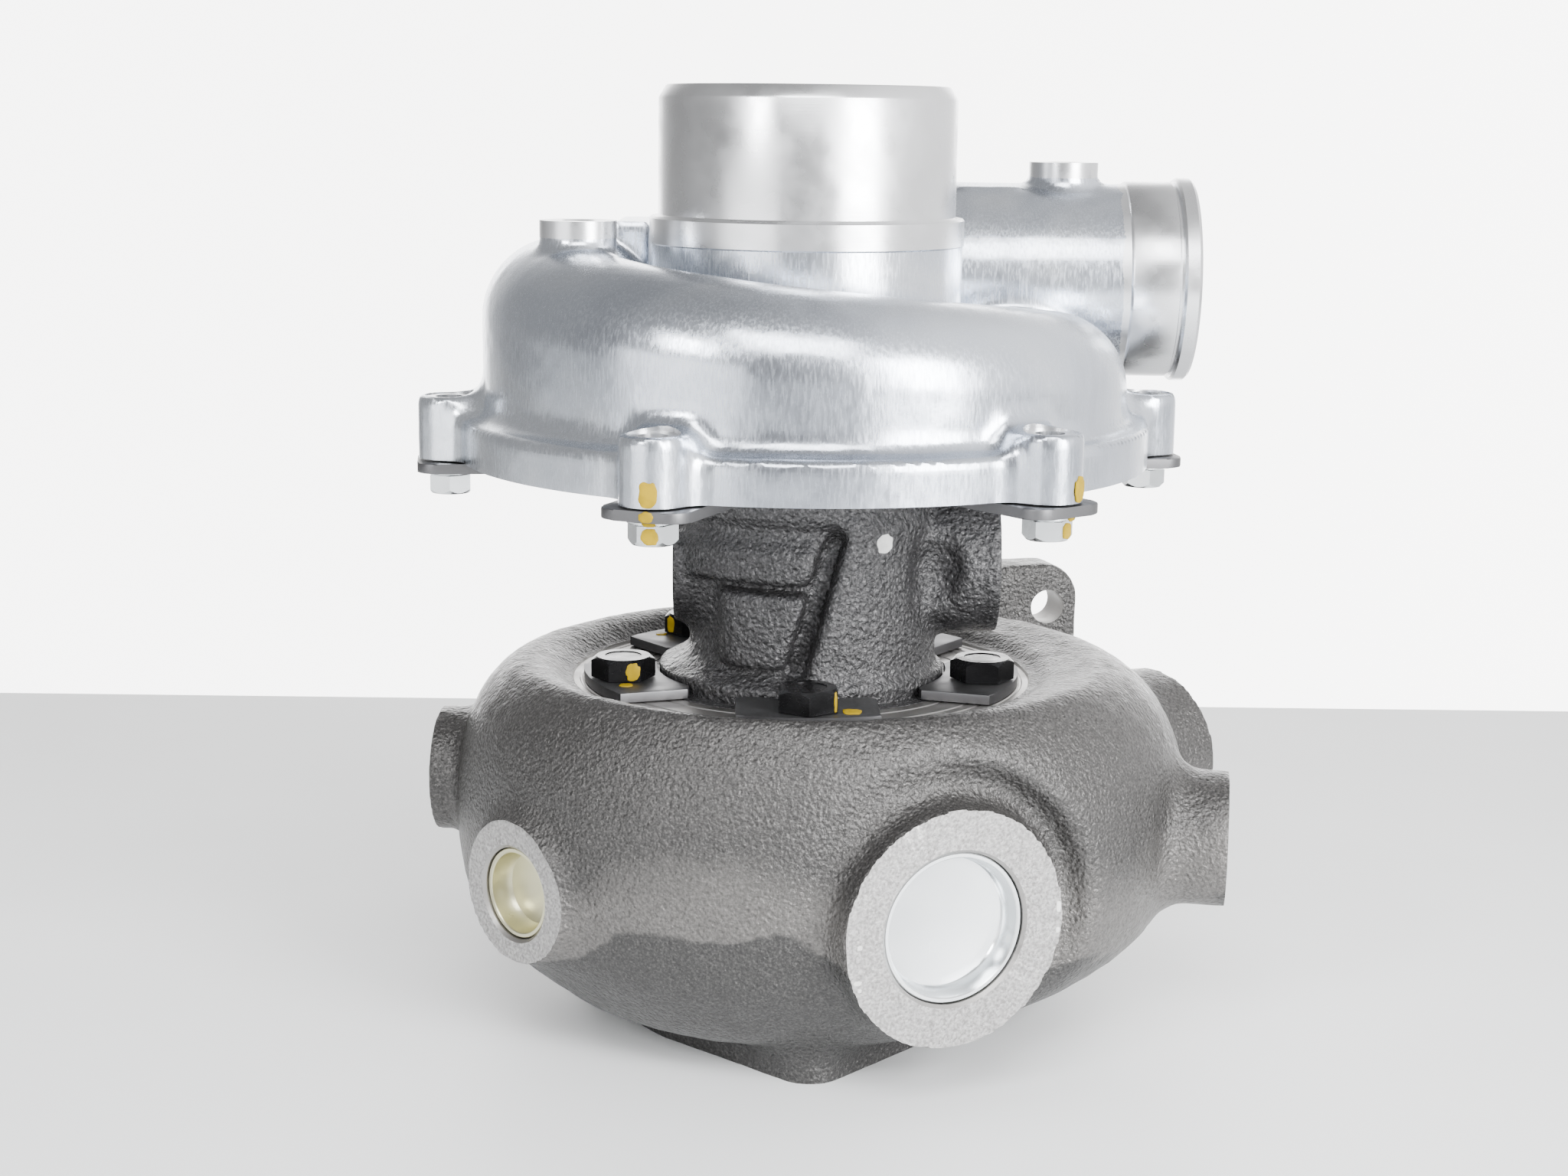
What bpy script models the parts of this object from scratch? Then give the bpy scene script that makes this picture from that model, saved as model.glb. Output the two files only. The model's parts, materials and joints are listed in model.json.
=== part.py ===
"""A water-cooled turbocharger, standing on its turbine outlet flange with the shaft upright.

Units: every dimension below is in millimetres and M() turns it into metres. +Z runs up the
shaft, from the turbine to the compressor. Z = 0 is the underside of the foot flange, and the
world origin is the middle of the object's footprint. Azimuths are in degrees: 0 is the front
(-Y), +90 is the right (+X). Radii are measured from the shaft.
"""
import math

import bmesh
import bpy
from mathutils import Matrix, Vector

# ---- driving dimensions (mm, degrees) -------------------------------------------------------
SHAFT_X, SHAFT_Y = -10.1, -16.3      # the shaft, from the middle of the footprint
GAP = 0.3                           # clearance between touching pieces
THREAD_GAP = 0.5                    # clearance round a shank in its faceted hole
ROUND = 32                          # facets of a large turned surface
FINE = 16                           # facets of a small turned surface
TUBE = 20                           # facets of a spigot, a duct or a large boss
HOLE = 8                            # facets of a bolt, a hole or a boss

# compressor cover
INLET_R, INLET_TOP = 45.0, 286.7
INLET_CHAMFER = (2.3, 3.6)
INLET_BASE_R, INLET_STEP_Z = 47.7, 247.9
INLET_BORE_R, INDUCER_BORE_R = 40.5, 28.4
COVER_R, COVER_BOTTOM, COVER_RIM_TOP = 105.0, 175.1, 188.0
SCROLL_R = 98.0                     # the scroll's outer wall
SCROLL_WALL = 5.0
PASSAGE_HALF_WIDTH = 19.5           # widest the scroll passage gets before the outlet
TONGUE_CEILING, TONGUE_TURN, TONGUE_RISE = 196.5, 42.0, 0.55    # keeps it under the outlet bore
SCROLL_FLOOR = 184.5
CREST_START, CREST_RISE, CREST_MAX = 208.5, 0.1278, 241.0    # height, rise per degree, level run
CREST_OUTLET = 258.0                # the crest where it meets the outlet spigot
CORNER_R, CORNER_OUTLET = 23.5, 8.5                 # crest radius and what the outlet adds to it
BLEND_START, BLEND_TURN, FLOOR_RISE = 310.0, 50.0, 14.5    # the scroll's last turn
OUTLET_Y, OUTLET_Z, OUTLET_R = 67.0, 226.0, 32.0
OUTLET_BORE_R, OUTLET_END_X = 27.0, 127.0
BEAD_R, BEAD_LENGTH = 33.3, 5.5
COVER_BOLT_CIRCLE, COVER_BOLT_COUNT, FIRST_COVER_BOLT_AZ = 108.2, 6, -22.2
COVER_BOSS_R, COVER_BOSS_TOP = 9.6, 194.3
PRESSURE_BOSSES = ((-67.0, -27.0, 247.2), (85.0, 67.0, 264.0))
PRESSURE_BOSS_R, PRESSURE_HOLE_R = 11.3, 4.2
PRESSURE_HOLE_DEPTH = 16.0          # through to the air passage

# joint between the cover and the bearing housing
POCKET_R, POCKET_TOP = 97.2, 183.3
BACKPLATE_R, BACKPLATE_BOTTOM, BACKPLATE_TOP = 96.8, 175.3, 183.0
CLAMP_THICKNESS = 3.0
BACKPLATE_SCREW_CIRCLE, BACKPLATE_SCREWS, FIRST_BACKPLATE_SCREW_AZ = 31.0, 4, 45.0
M8_SHANK_R, M8_FLATS, M8_HEAD = 3.7, 12.0, 5.6
M10_SHANK_R, M10_FLATS, M10_HEAD = 4.6, 17.0, 6.6

# bearing housing
HOUSING_TOP, HOUSING_R = 175.0, 38.5
OIL_PAD_LEFT, OIL_PAD_RIGHT = -39.6, 60.2
OIL_PAD_Z, OIL_PORT_Z = 143.0, 137.0
SKIRT_R, FLANGE_R = 44.4, 49.6
NOSE_R, NOSE_BOTTOM = 38.5, 83.0

# turbine housing
RING_Z = 105.3                      # machined face under the turbine clamp plates
TURBINE_BOLT_CIRCLE, TURBINE_BOLT_COUNT, FIRST_TURBINE_BOLT_AZ = 57.9, 5, 1.7
FOOT_THICKNESS, FOOT_BORE_R = 13.0, 38.0
FOOT_LUG_CIRCLE, FOOT_LUG_R, FOOT_LUG_SPREAD = 64.0, 11.0, 44.0
FOOT_LUGS, FIRST_FOOT_LUG_AZ = 3, 3.0
FOOT_HOLE_R, FOOT_HOLE_DEPTH = 4.3, 11.0
GAS_Z, GAS_OFFSET, GAS_AZ = 63.3, 70.7, 105.0   # gas inlet passage: height, offset, azimuth
GAS_BORE_R, GAS_WALL_R = 21.0, 31.0
GAS_SCROLL_INNER_R, GAS_SCROLL_R, GAS_SCROLL_SHRINK, GAS_SCROLL_TURN = 45.0, 20.5, 13.0, 345.0
INLET_FLANGE_NEAR, INLET_FLANGE_FAR = 98.0, 114.0
INLET_FLANGE_SIZE = (124.0, 110.0, 14.0)        # width, height, corner radius
INLET_FLANGE_HOLES = (50.0, 39.0, 6.25)         # half spacings and hole radius
# bosses: azimuth, height and radius of the face's middle, azimuth that the face looks along,
# boss radius, bore radius, bore depth
BOSSES = {
    "front": (25.5, 54.0, 102.0, 25.5, 35.0, 22.3, 11.5),
    "front_left": (-54.0, 52.5, 104.0, -45.0, 21.0, 13.8, 11.5),
    "left": (-95.0, 71.3, 115.0, -95.0, 19.7, 10.5, 20.0),
    "right": (81.0, 59.8, 134.0, 81.0, 20.8, 11.5, 20.0),
    "rear_right": (115.0, 67.5, 132.4, 130.0, 28.0, 18.3, 11.5),
}

# rotor
SHAFT_R, JOURNAL_R, SEAL_R = 4.0, 5.5, 9.5
WHEEL_R, INDUCER_R = 38.0, 27.8
INDUCER_TOP = 219.4                 # leading edge of the full compressor blades at the tip
TURBINE_R, EXDUCER_R = 37.9, 33.0


def M(value):
    """Millimetres to metres."""
    return value * 0.001


def at(azimuth, radius, z=0.0):
    """The point at an azimuth (degrees), a radius and a height, in millimetres."""
    angle = math.radians(azimuth)
    return Vector((radius * math.sin(angle), -radius * math.cos(angle), z))


def arc(centre, radius, start, end, steps):
    """Points on an arc about centre, from start to end degrees."""
    points = []
    for i in range(steps + 1):
        angle = math.radians(start + (end - start) * i / steps)
        points.append((centre[0] + radius * math.cos(angle), centre[1] + radius * math.sin(angle)))
    return points


# ---- scene helpers --------------------------------------------------------------------------
def clear_scene():
    for obj in list(bpy.data.objects):
        bpy.data.objects.remove(obj, do_unlink=True)


def new_collection(name):
    group = bpy.data.collections.new(name)
    bpy.context.scene.collection.children.link(group)
    return group


clear_scene()
PARTS = new_collection("turbocharger")
CUTTERS = new_collection("cutters")


def empty(name, location=(0, 0, 0), parent=None):
    guide = bpy.data.objects.new(name, None)
    guide.location = location
    guide.parent = parent
    guide.empty_display_size = 0.05
    CUTTERS.objects.link(guide)
    return guide


SHAFT = empty("shaft_axis", (M(SHAFT_X), M(SHAFT_Y), 0))
ROTOR = empty("rotor_axis", parent=SHAFT)


def material(name, colour, roughness, metallic):
    """A Principled material with one colour, roughness and metallic value."""
    made = bpy.data.materials.new(name)
    made.use_nodes = True
    shader = made.node_tree.nodes["Principled BSDF"]
    shader.inputs["Base Color"].default_value = (*colour, 1.0)
    shader.inputs["Roughness"].default_value = roughness
    shader.inputs["Metallic"].default_value = metallic
    made.diffuse_color = (*colour, 1.0)
    return made


ALUMINIUM = material("cast_aluminium", (0.72, 0.74, 0.77), 0.35, 1.0)
BLACK_IRON = material("black_cast_iron", (0.035, 0.033, 0.033), 0.5, 0.4)
DARK_IRON = material("dark_cast_iron", (0.075, 0.068, 0.064), 0.6, 0.3)
ZINC = material("zinc_plate", (0.62, 0.66, 0.68), 0.3, 1.0)
YELLOW_ZINC = material("yellow_zinc", (0.62, 0.6, 0.42), 0.3, 1.0)
BLACK_OXIDE = material("black_oxide", (0.02, 0.02, 0.022), 0.35, 0.7)
PLATE_STEEL = material("plate_steel", (0.3, 0.3, 0.31), 0.4, 1.0)
MACHINED_STEEL = material("machined_steel", (0.6, 0.6, 0.6), 0.25, 1.0)
NICKEL_ALLOY = material("nickel_alloy", (0.4, 0.39, 0.38), 0.4, 1.0)
BRONZE = material("bearing_bronze", (0.62, 0.42, 0.2), 0.3, 1.0)
RUBBER = material("rubber", (0.02, 0.02, 0.02), 0.7, 0.0)


def add_object(name, mesh, look=None, parent=SHAFT):
    """Put a mesh in the scene: a part when it has a look, a cutter or guide when it has none."""
    obj = bpy.data.objects.new(name, mesh)
    obj.parent = parent
    if look is None:
        CUTTERS.objects.link(obj)
        obj.hide_render = True
        obj.display_type = "WIRE"
    else:
        PARTS.objects.link(obj)
        if not mesh.materials:
            mesh.materials.append(look)
    return obj


def mesh_from(bm, name):
    bmesh.ops.recalc_face_normals(bm, faces=bm.faces)
    mesh = bpy.data.meshes.new(name)
    bm.to_mesh(mesh)
    bm.free()
    return mesh


def baked_mesh(obj, name):
    """The object's evaluated mesh in its parent's space, with loose caps welded."""
    view = bpy.context.evaluated_depsgraph_get()
    mesh = bpy.data.meshes.new_from_object(obj.evaluated_get(view))
    mesh.name = name
    bm = bmesh.new()
    bm.from_mesh(mesh)
    bmesh.ops.remove_doubles(bm, verts=bm.verts, dist=M(0.01))
    bm.to_mesh(mesh)
    bm.free()
    bpy.data.objects.remove(obj, do_unlink=True)
    return mesh


# ---- shape helpers --------------------------------------------------------------------------
def turned(name, outline, look=None, steps=ROUND, parent=SHAFT):
    """A solid of revolution from a closed (radius, z) outline, listed clockwise.

    Clockwise, with the radius to the right and z up, runs down the outer side. An outline
    that starts and ends on the shaft's axis stays open there.
    """
    mesh = bpy.data.meshes.new(name)
    points = [(M(r), 0.0, M(z)) for r, z in outline]
    edges = [(i, i + 1) for i in range(len(points) - 1)]
    if outline[0][0] > 0:
        edges.append((len(points) - 1, 0))
    mesh.from_pydata(points, edges, [])
    obj = add_object(name, mesh, look, parent)
    screw = obj.modifiers.new("turn", "SCREW")
    screw.axis = "Z"
    screw.steps = steps
    screw.render_steps = steps
    screw.use_merge_vertices = True
    screw.merge_threshold = M(0.005)
    screw.use_smooth_shade = False
    return obj


def cylinders(name, rods, look=None, segments=HOLE, parent=SHAFT):
    """One mesh of separate cylinders, each given as (base, tip, radius) in millimetres."""
    bm = bmesh.new()
    for base, tip, radius in rods:
        base, tip = Vector(base), Vector(tip)
        run = tip - base
        turn = run.to_track_quat("Z", "Y").to_matrix().to_4x4()
        place = Matrix.Translation((base + tip) * M(0.5)) @ turn
        bmesh.ops.create_cone(
            bm, cap_ends=True, segments=segments, radius1=M(radius), radius2=M(radius),
            depth=M(run.length), matrix=place)
    return add_object(name, mesh_from(bm, name), look, parent)


def plate_mesh(name, outlines, thickness):
    """A flat plate from 2D outlines (the first is the edge, the rest are holes), centred on z."""
    curve = bpy.data.curves.new(name, "CURVE")
    curve.dimensions = "2D"
    curve.fill_mode = "BOTH"
    curve.extrude = M(thickness / 2)
    for outline in outlines:
        spline = curve.splines.new("POLY")
        spline.points.add(len(outline) - 1)
        for point, (x, y) in zip(spline.points, outline):
            point.co = (M(x), M(y), 0, 1)
        spline.use_cyclic_u = True
    guide = bpy.data.objects.new(name, curve)
    CUTTERS.objects.link(guide)
    return baked_mesh(guide, name)


def place_mesh(mesh, matrix):
    """Move a mesh's own points, for a cutter or a guide made flat at the origin."""
    mesh.transform(matrix)
    return mesh


def rounded_box(half_x, half_y, corner, steps=4):
    """Outline of a rectangle with rounded corners, anticlockwise."""
    points = []
    for sx, sy, start in ((1, 1, 0), (-1, 1, 90), (-1, -1, 180), (1, -1, 270)):
        centre = (sx * (half_x - corner), sy * (half_y - corner))
        points += arc(centre, corner, start, start + 90, steps)
    return points


def circle(centre, radius, steps=HOLE):
    return arc(centre, radius, 0, 360 - 360 / steps, steps - 1)


def loft(name, sections, ring=False, look=None, parent=SHAFT):
    """Skin between sections of equal point counts, capped at both ends unless it is a ring."""
    bm = bmesh.new()
    rows = []
    for section in sections:
        rows.append([bm.verts.new((M(x), M(y), M(z))) for x, y, z in section])
    count = len(rows[0])
    last = len(rows) if ring else len(rows) - 1
    for i in range(last):
        here, there = rows[i], rows[(i + 1) % len(rows)]
        for j in range(count):
            k = (j + 1) % count
            bm.faces.new((here[j], here[k], there[k], there[j]))
    if not ring:
        bm.faces.new(rows[0][::-1])
        bm.faces.new(rows[-1])
    return add_object(name, mesh_from(bm, name), look, parent)


SLIT_PRONE = ("compressor_cover", "bearing_housing")     # EXACT leaves slits in these two


def boolean(obj, operation, *others):
    for other in others:
        step = obj.modifiers.new(f"{operation.lower()}_{other.name}", "BOOLEAN")
        step.operation = operation
        step.object = other
        step.solver = "MANIFOLD" if obj.name in SLIT_PRONE else "EXACT"


def join(obj, *others):
    boolean(obj, "UNION", *others)


def cut(obj, *others):
    boolean(obj, "DIFFERENCE", *others)


# ---- compressor cover -----------------------------------------------------------------------
def outlet_blend(travel):
    """0 along the scroll, rising smoothly to 1 over its last turn into the outlet."""
    t = max(0.0, (travel - BLEND_START) / BLEND_TURN)
    return t * t * (3 - 2 * t)


def scroll_top(travel):
    """Height of the scroll's crest after travelling so many degrees from the tongue."""
    crest = min(CREST_START + CREST_RISE * travel, CREST_MAX)
    return crest + (CREST_OUTLET - CREST_MAX) * outlet_blend(travel)


def scroll_corner(travel):
    """Radius of the scroll's rounded crest."""
    return CORNER_R + CORNER_OUTLET * outlet_blend(travel)


def scroll_outline(travel):
    """Outer section of the scroll: an upright wall, a round crest and a fall to the inlet."""
    radius = scroll_corner(travel)
    centre = (SCROLL_R - radius, scroll_top(travel) - radius)
    crest = arc(centre, radius, 0, 150, 7)
    return [(46.0, 184.0), (SCROLL_R, 184.0)] + crest + [(46.0, crest[-1][1] - 6.0)]


def scroll_passage(travel):
    """Inner section of the scroll: an oval inside the crest that stands on the backplate."""
    blend = outlet_blend(travel)
    floor = SCROLL_FLOOR + FLOOR_RISE * blend
    ceiling = min(scroll_top(travel) - SCROLL_WALL,
                  TONGUE_CEILING + TONGUE_RISE * max(0.0, travel - TONGUE_TURN))
    tall = (ceiling - floor) / 2
    wide = min(tall, PASSAGE_HALF_WIDTH + (OUTLET_BORE_R - PASSAGE_HALF_WIDTH) * blend)
    inset = max(0.0, (CORNER_R - tall) / 4)
    middle = SCROLL_R - SCROLL_WALL - wide - inset
    return [(middle + wide * x, floor + tall + tall * z) for x, z in circle((0, 0), 1.0, 12)]


def spun(outline, azimuth):
    """Stand a (radius, z) outline up at an azimuth."""
    return [tuple(at(azimuth, r, z)) for r, z in outline]


def shroud(gap=0.0):
    """The compressor wheel's outer contour from the inducer to the tip, moved out by gap."""
    points = []
    for i in range(5):
        t = math.radians(90 * i / 4)
        r = INDUCER_R + gap + (WHEEL_R - INDUCER_R) * (1 - math.cos(t))
        z = 187.0 + 25.0 * (1 - math.sin(t))
        points.append((r, z))
    return points


def compressor_cover():
    inlet_chamfer_r = INLET_R - INLET_CHAMFER[0]
    cover = turned("compressor_cover", [
        (0, INLET_TOP), (inlet_chamfer_r, INLET_TOP), (INLET_R, INLET_TOP - INLET_CHAMFER[1]),
        (INLET_R, INLET_STEP_Z), (INLET_BASE_R, INLET_STEP_Z), (INLET_BASE_R, 196.0),
        (SCROLL_R - 2, 196.0), (SCROLL_R - 2, 193.5), (100.5, 189.5), (COVER_R - 1.5, COVER_RIM_TOP),
        (COVER_R, COVER_RIM_TOP - 1.5), (COVER_R, COVER_BOTTOM + GAP), (0, COVER_BOTTOM + GAP)],
        ALUMINIUM)
    bosses = []
    holes = []
    for azimuth in cover_bolt_azimuths():
        bosses.append((at(azimuth, COVER_BOLT_CIRCLE, COVER_BOTTOM),
                       at(azimuth, COVER_BOLT_CIRCLE, COVER_BOSS_TOP), COVER_BOSS_R))
        holes.append((at(azimuth, COVER_BOLT_CIRCLE, COVER_BOTTOM - 5),
                      at(azimuth, COVER_BOLT_CIRCLE, COVER_BOSS_TOP + 5), M8_SHANK_R + THREAD_GAP))
    webs = cover_boss_webs()
    steps = [360 * i / ROUND for i in range(1, ROUND + 1)]
    scroll = loft("scroll", [spun(scroll_outline(travel), 180 - travel) for travel in steps],
                  ring=True)
    tube = outlet_tube()
    stubs = []
    for x, y, top in PRESSURE_BOSSES:
        stubs.append(((x, y, top - 24), (x, y, top), PRESSURE_BOSS_R))
        holes.append(((x, y, top - PRESSURE_HOLE_DEPTH), (x, y, top + 5), PRESSURE_HOLE_R))
    join(cover, scroll, tube, cylinders("cover_bosses", bosses), webs,
         cylinders("pressure_bosses", stubs))

    bore = turned("cover_bore", [
        (0, INLET_TOP + 5), (INLET_BORE_R, INLET_TOP + 5), (INLET_BORE_R, 262.0),
        (30.0, 238.0), (INDUCER_BORE_R, 230.0)] + shroud(INDUCER_BORE_R - INDUCER_R) + [
        (80.0, 187.0), (84.0, POCKET_TOP), (POCKET_R, POCKET_TOP), (POCKET_R, COVER_BOTTOM - 5),
        (0, COVER_BOTTOM - 5)])
    passage = loft("scroll_passage", [spun(scroll_passage(15 * i), 180 - 15 * i)
                                      for i in range(1, 25)])
    outlet_bore = cylinders("outlet_bore", [
        ((-2.0, OUTLET_Y - 0.5, OUTLET_Z), (OUTLET_END_X + 5, OUTLET_Y, OUTLET_Z), OUTLET_BORE_R)],
        segments=TUBE)
    cut(cover, bore, passage, outlet_bore, cylinders("cover_holes", holes))


def cover_bolt_azimuths():
    step = 360 / COVER_BOLT_COUNT
    return [FIRST_COVER_BOLT_AZ + step * i for i in range(COVER_BOLT_COUNT)]


def cover_boss_webs():
    """A short block from each bolt boss to the rim, so the boss grows out of it."""
    bm = bmesh.new()
    inner, outer = SCROLL_R - 6, COVER_BOLT_CIRCLE
    low, high = COVER_BOTTOM + 2 * GAP, COVER_BOSS_TOP - 1.0
    for azimuth in cover_bolt_azimuths():
        middle = at(azimuth, (inner + outer) / 2, (low + high) / 2) * 0.001
        size = Matrix.Diagonal((M(2 * COVER_BOSS_R - 1.0), M(outer - inner), M(high - low), 1))
        turn = Matrix.Rotation(math.radians(azimuth), 4, "Z")
        bmesh.ops.create_cube(bm, size=1.0, matrix=Matrix.Translation(middle) @ turn @ size)
    return add_object("cover_boss_webs", mesh_from(bm, "cover_boss_webs"))


def outlet_tube():
    """The outlet spigot along +X, with its step and its hose bead."""
    bead_start = OUTLET_END_X - BEAD_LENGTH
    tube = turned("outlet_tube", [
        (0, OUTLET_END_X), (BEAD_R - 1, OUTLET_END_X), (BEAD_R, OUTLET_END_X - 1),
        (BEAD_R, bead_start), (OUTLET_R, bead_start - 0.5), (OUTLET_R, 105.0),
        (OUTLET_R - 0.7, 104.0), (OUTLET_R - 0.7, -6.0), (0, -6.0)], steps=TUBE)
    tube.location = (0, M(OUTLET_Y), M(OUTLET_Z))
    tube.rotation_euler = (0, math.radians(90), 0)
    return tube


# ---- fasteners ------------------------------------------------------------------------------
def hex_bolt_mesh(name, flats, head, shank_r, length):
    """A bolt with its head above z = 0 and its shank below, as one closed mesh."""
    corner = flats / math.sqrt(3)
    shank = cylinders(name + "_shank", [((0, 0, -length), (0, 0, 1.0), shank_r)], parent=None)
    bolt = cylinders(name, [((0, 0, 0), (0, 0, head), corner)], segments=6, parent=None)
    join(bolt, shank)
    mesh = baked_mesh(bolt, name)
    bpy.data.objects.remove(shank, do_unlink=True)
    return mesh


def cover_fasteners():
    """Bolts from below, each through a washer and a clamp plate into a boss of the cover."""
    plate_top = COVER_BOTTOM - GAP
    plate_bottom = plate_top - CLAMP_THICKNESS
    inner, outer, half = 77.0, 118.0, 13.0
    middle = (inner + outer) / 2
    edge = rounded_box(half, (outer - inner) / 2, 6.0, 2)
    hole = circle((0, middle - COVER_BOLT_CIRCLE), M8_SHANK_R + GAP, 12)
    clamp = plate_mesh("cover_clamp", [edge, hole], CLAMP_THICKNESS)
    bolt = hex_bolt_mesh("cover_bolt", M8_FLATS, M8_HEAD, M8_SHANK_R, 19.0)
    washer = plate_mesh("cover_washer", [circle((0, 0), 7.4, 12),
                                         circle((0, 0), M8_SHANK_R + GAP, 12)], 1.0)
    for i, azimuth in enumerate(cover_bolt_azimuths(), 1):
        turn = math.radians(azimuth)
        plate = add_object(f"cover_clamp_{i}", clamp, PLATE_STEEL)
        plate.location = at(azimuth, middle, (plate_top + plate_bottom) / 2) * 0.001
        plate.rotation_euler = (0, 0, turn)
        ring = add_object(f"cover_washer_{i}", washer, ZINC)
        ring.location = at(azimuth, COVER_BOLT_CIRCLE, plate_bottom - GAP - 0.5) * 0.001
        screw = add_object(f"cover_bolt_{i}", bolt, ZINC)
        screw.location = at(azimuth, COVER_BOLT_CIRCLE, plate_bottom - 2 * GAP - 1.0) * 0.001
        screw.rotation_euler = (math.pi, 0, turn)


def turbine_clamp_outline():
    """A clamp plate at the front: concave inner edge, round outer edge, cut inner corners."""
    inner, outer, half, cut_back = SKIRT_R + 1.0, 68.0, 21.0, 4.0
    spread_in = math.degrees(math.asin((half - cut_back) / inner))
    spread_out = math.degrees(math.asin(half / outer))
    points = [tuple(at(spread_in - 2 * spread_in * i / 6, inner).xy) for i in range(7)]
    points.append((-half, -(inner + cut_back) * math.cos(math.radians(spread_in)) + 2.0))
    points += [tuple(at(-spread_out + 2 * spread_out * i / 6, outer).xy) for i in range(7)]
    points.append((half, points[7][1]))
    return points


def turbine_fasteners():
    """Five clamp plates and bolts that hold the bearing housing on the turbine housing."""
    plate_bottom = RING_Z + GAP
    hole = circle((0, -TURBINE_BOLT_CIRCLE), M10_SHANK_R + GAP, 12)
    clamp = plate_mesh("turbine_clamp", [turbine_clamp_outline(), hole], CLAMP_THICKNESS)
    bolt = hex_bolt_mesh("turbine_bolt", M10_FLATS, M10_HEAD, M10_SHANK_R, 16.0)
    for i in range(TURBINE_BOLT_COUNT):
        azimuth = FIRST_TURBINE_BOLT_AZ + 360 / TURBINE_BOLT_COUNT * i
        turn = math.radians(azimuth)
        plate = add_object(f"turbine_clamp_{i + 1}", clamp, PLATE_STEEL)
        plate.location = (0, 0, M(plate_bottom + CLAMP_THICKNESS / 2))
        plate.rotation_euler = (0, 0, turn)
        screw = add_object(f"turbine_bolt_{i + 1}", bolt, BLACK_OXIDE)
        height = plate_bottom + CLAMP_THICKNESS + GAP
        screw.location = at(azimuth, TURBINE_BOLT_CIRCLE, height) * 0.001
        screw.rotation_euler = (0, 0, turn)


# ---- backplate ------------------------------------------------------------------------------
def backplate_screw_at(index, z):
    azimuth = FIRST_BACKPLATE_SCREW_AZ + 360 / BACKPLATE_SCREWS * index
    return at(azimuth, BACKPLATE_SCREW_CIRCLE, z)


def backplate():
    """The seal plate behind the compressor wheel, its O-ring and its four screws."""
    plate = turned("backplate", [
        (10.4, BACKPLATE_TOP), (BACKPLATE_R, BACKPLATE_TOP), (BACKPLATE_R, 181.2),
        (94.6, 181.2), (94.6, 178.4), (BACKPLATE_R, 178.4), (BACKPLATE_R, BACKPLATE_BOTTOM),
        (22.0, BACKPLATE_BOTTOM), (22.0, 172.4), (10.4, 172.4)], ALUMINIUM)
    turned("backplate_o_ring",
           [(95.8 + r, 179.8 + z) for r, z in circle((0, 0), 1.0, 6)[::-1]], RUBBER)
    places = range(BACKPLATE_SCREWS)
    screws = [(backplate_screw_at(i, 160.0), backplate_screw_at(i, 190.0), 3.0) for i in places]
    heads = [(backplate_screw_at(i, 179.4), backplate_screw_at(i, 190.0), 5.6) for i in places]
    cut(plate, cylinders("backplate_screw_holes", screws), cylinders("backplate_bores", heads))
    screw = cylinders("screw_shank", [((0, 0, -12.0), (0, 0, 1.0), 2.6)], parent=None)
    head = cylinders("backplate_screw", [((0, 0, 0), (0, 0, 3.0), 5.0)], parent=None)
    join(head, screw)
    mesh = baked_mesh(head, "backplate_screw")
    bpy.data.objects.remove(screw, do_unlink=True)
    for i in places:
        copy = add_object(f"backplate_screw_{i + 1}", mesh, MACHINED_STEEL)
        copy.location = backplate_screw_at(i, 179.7) * 0.001


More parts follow.
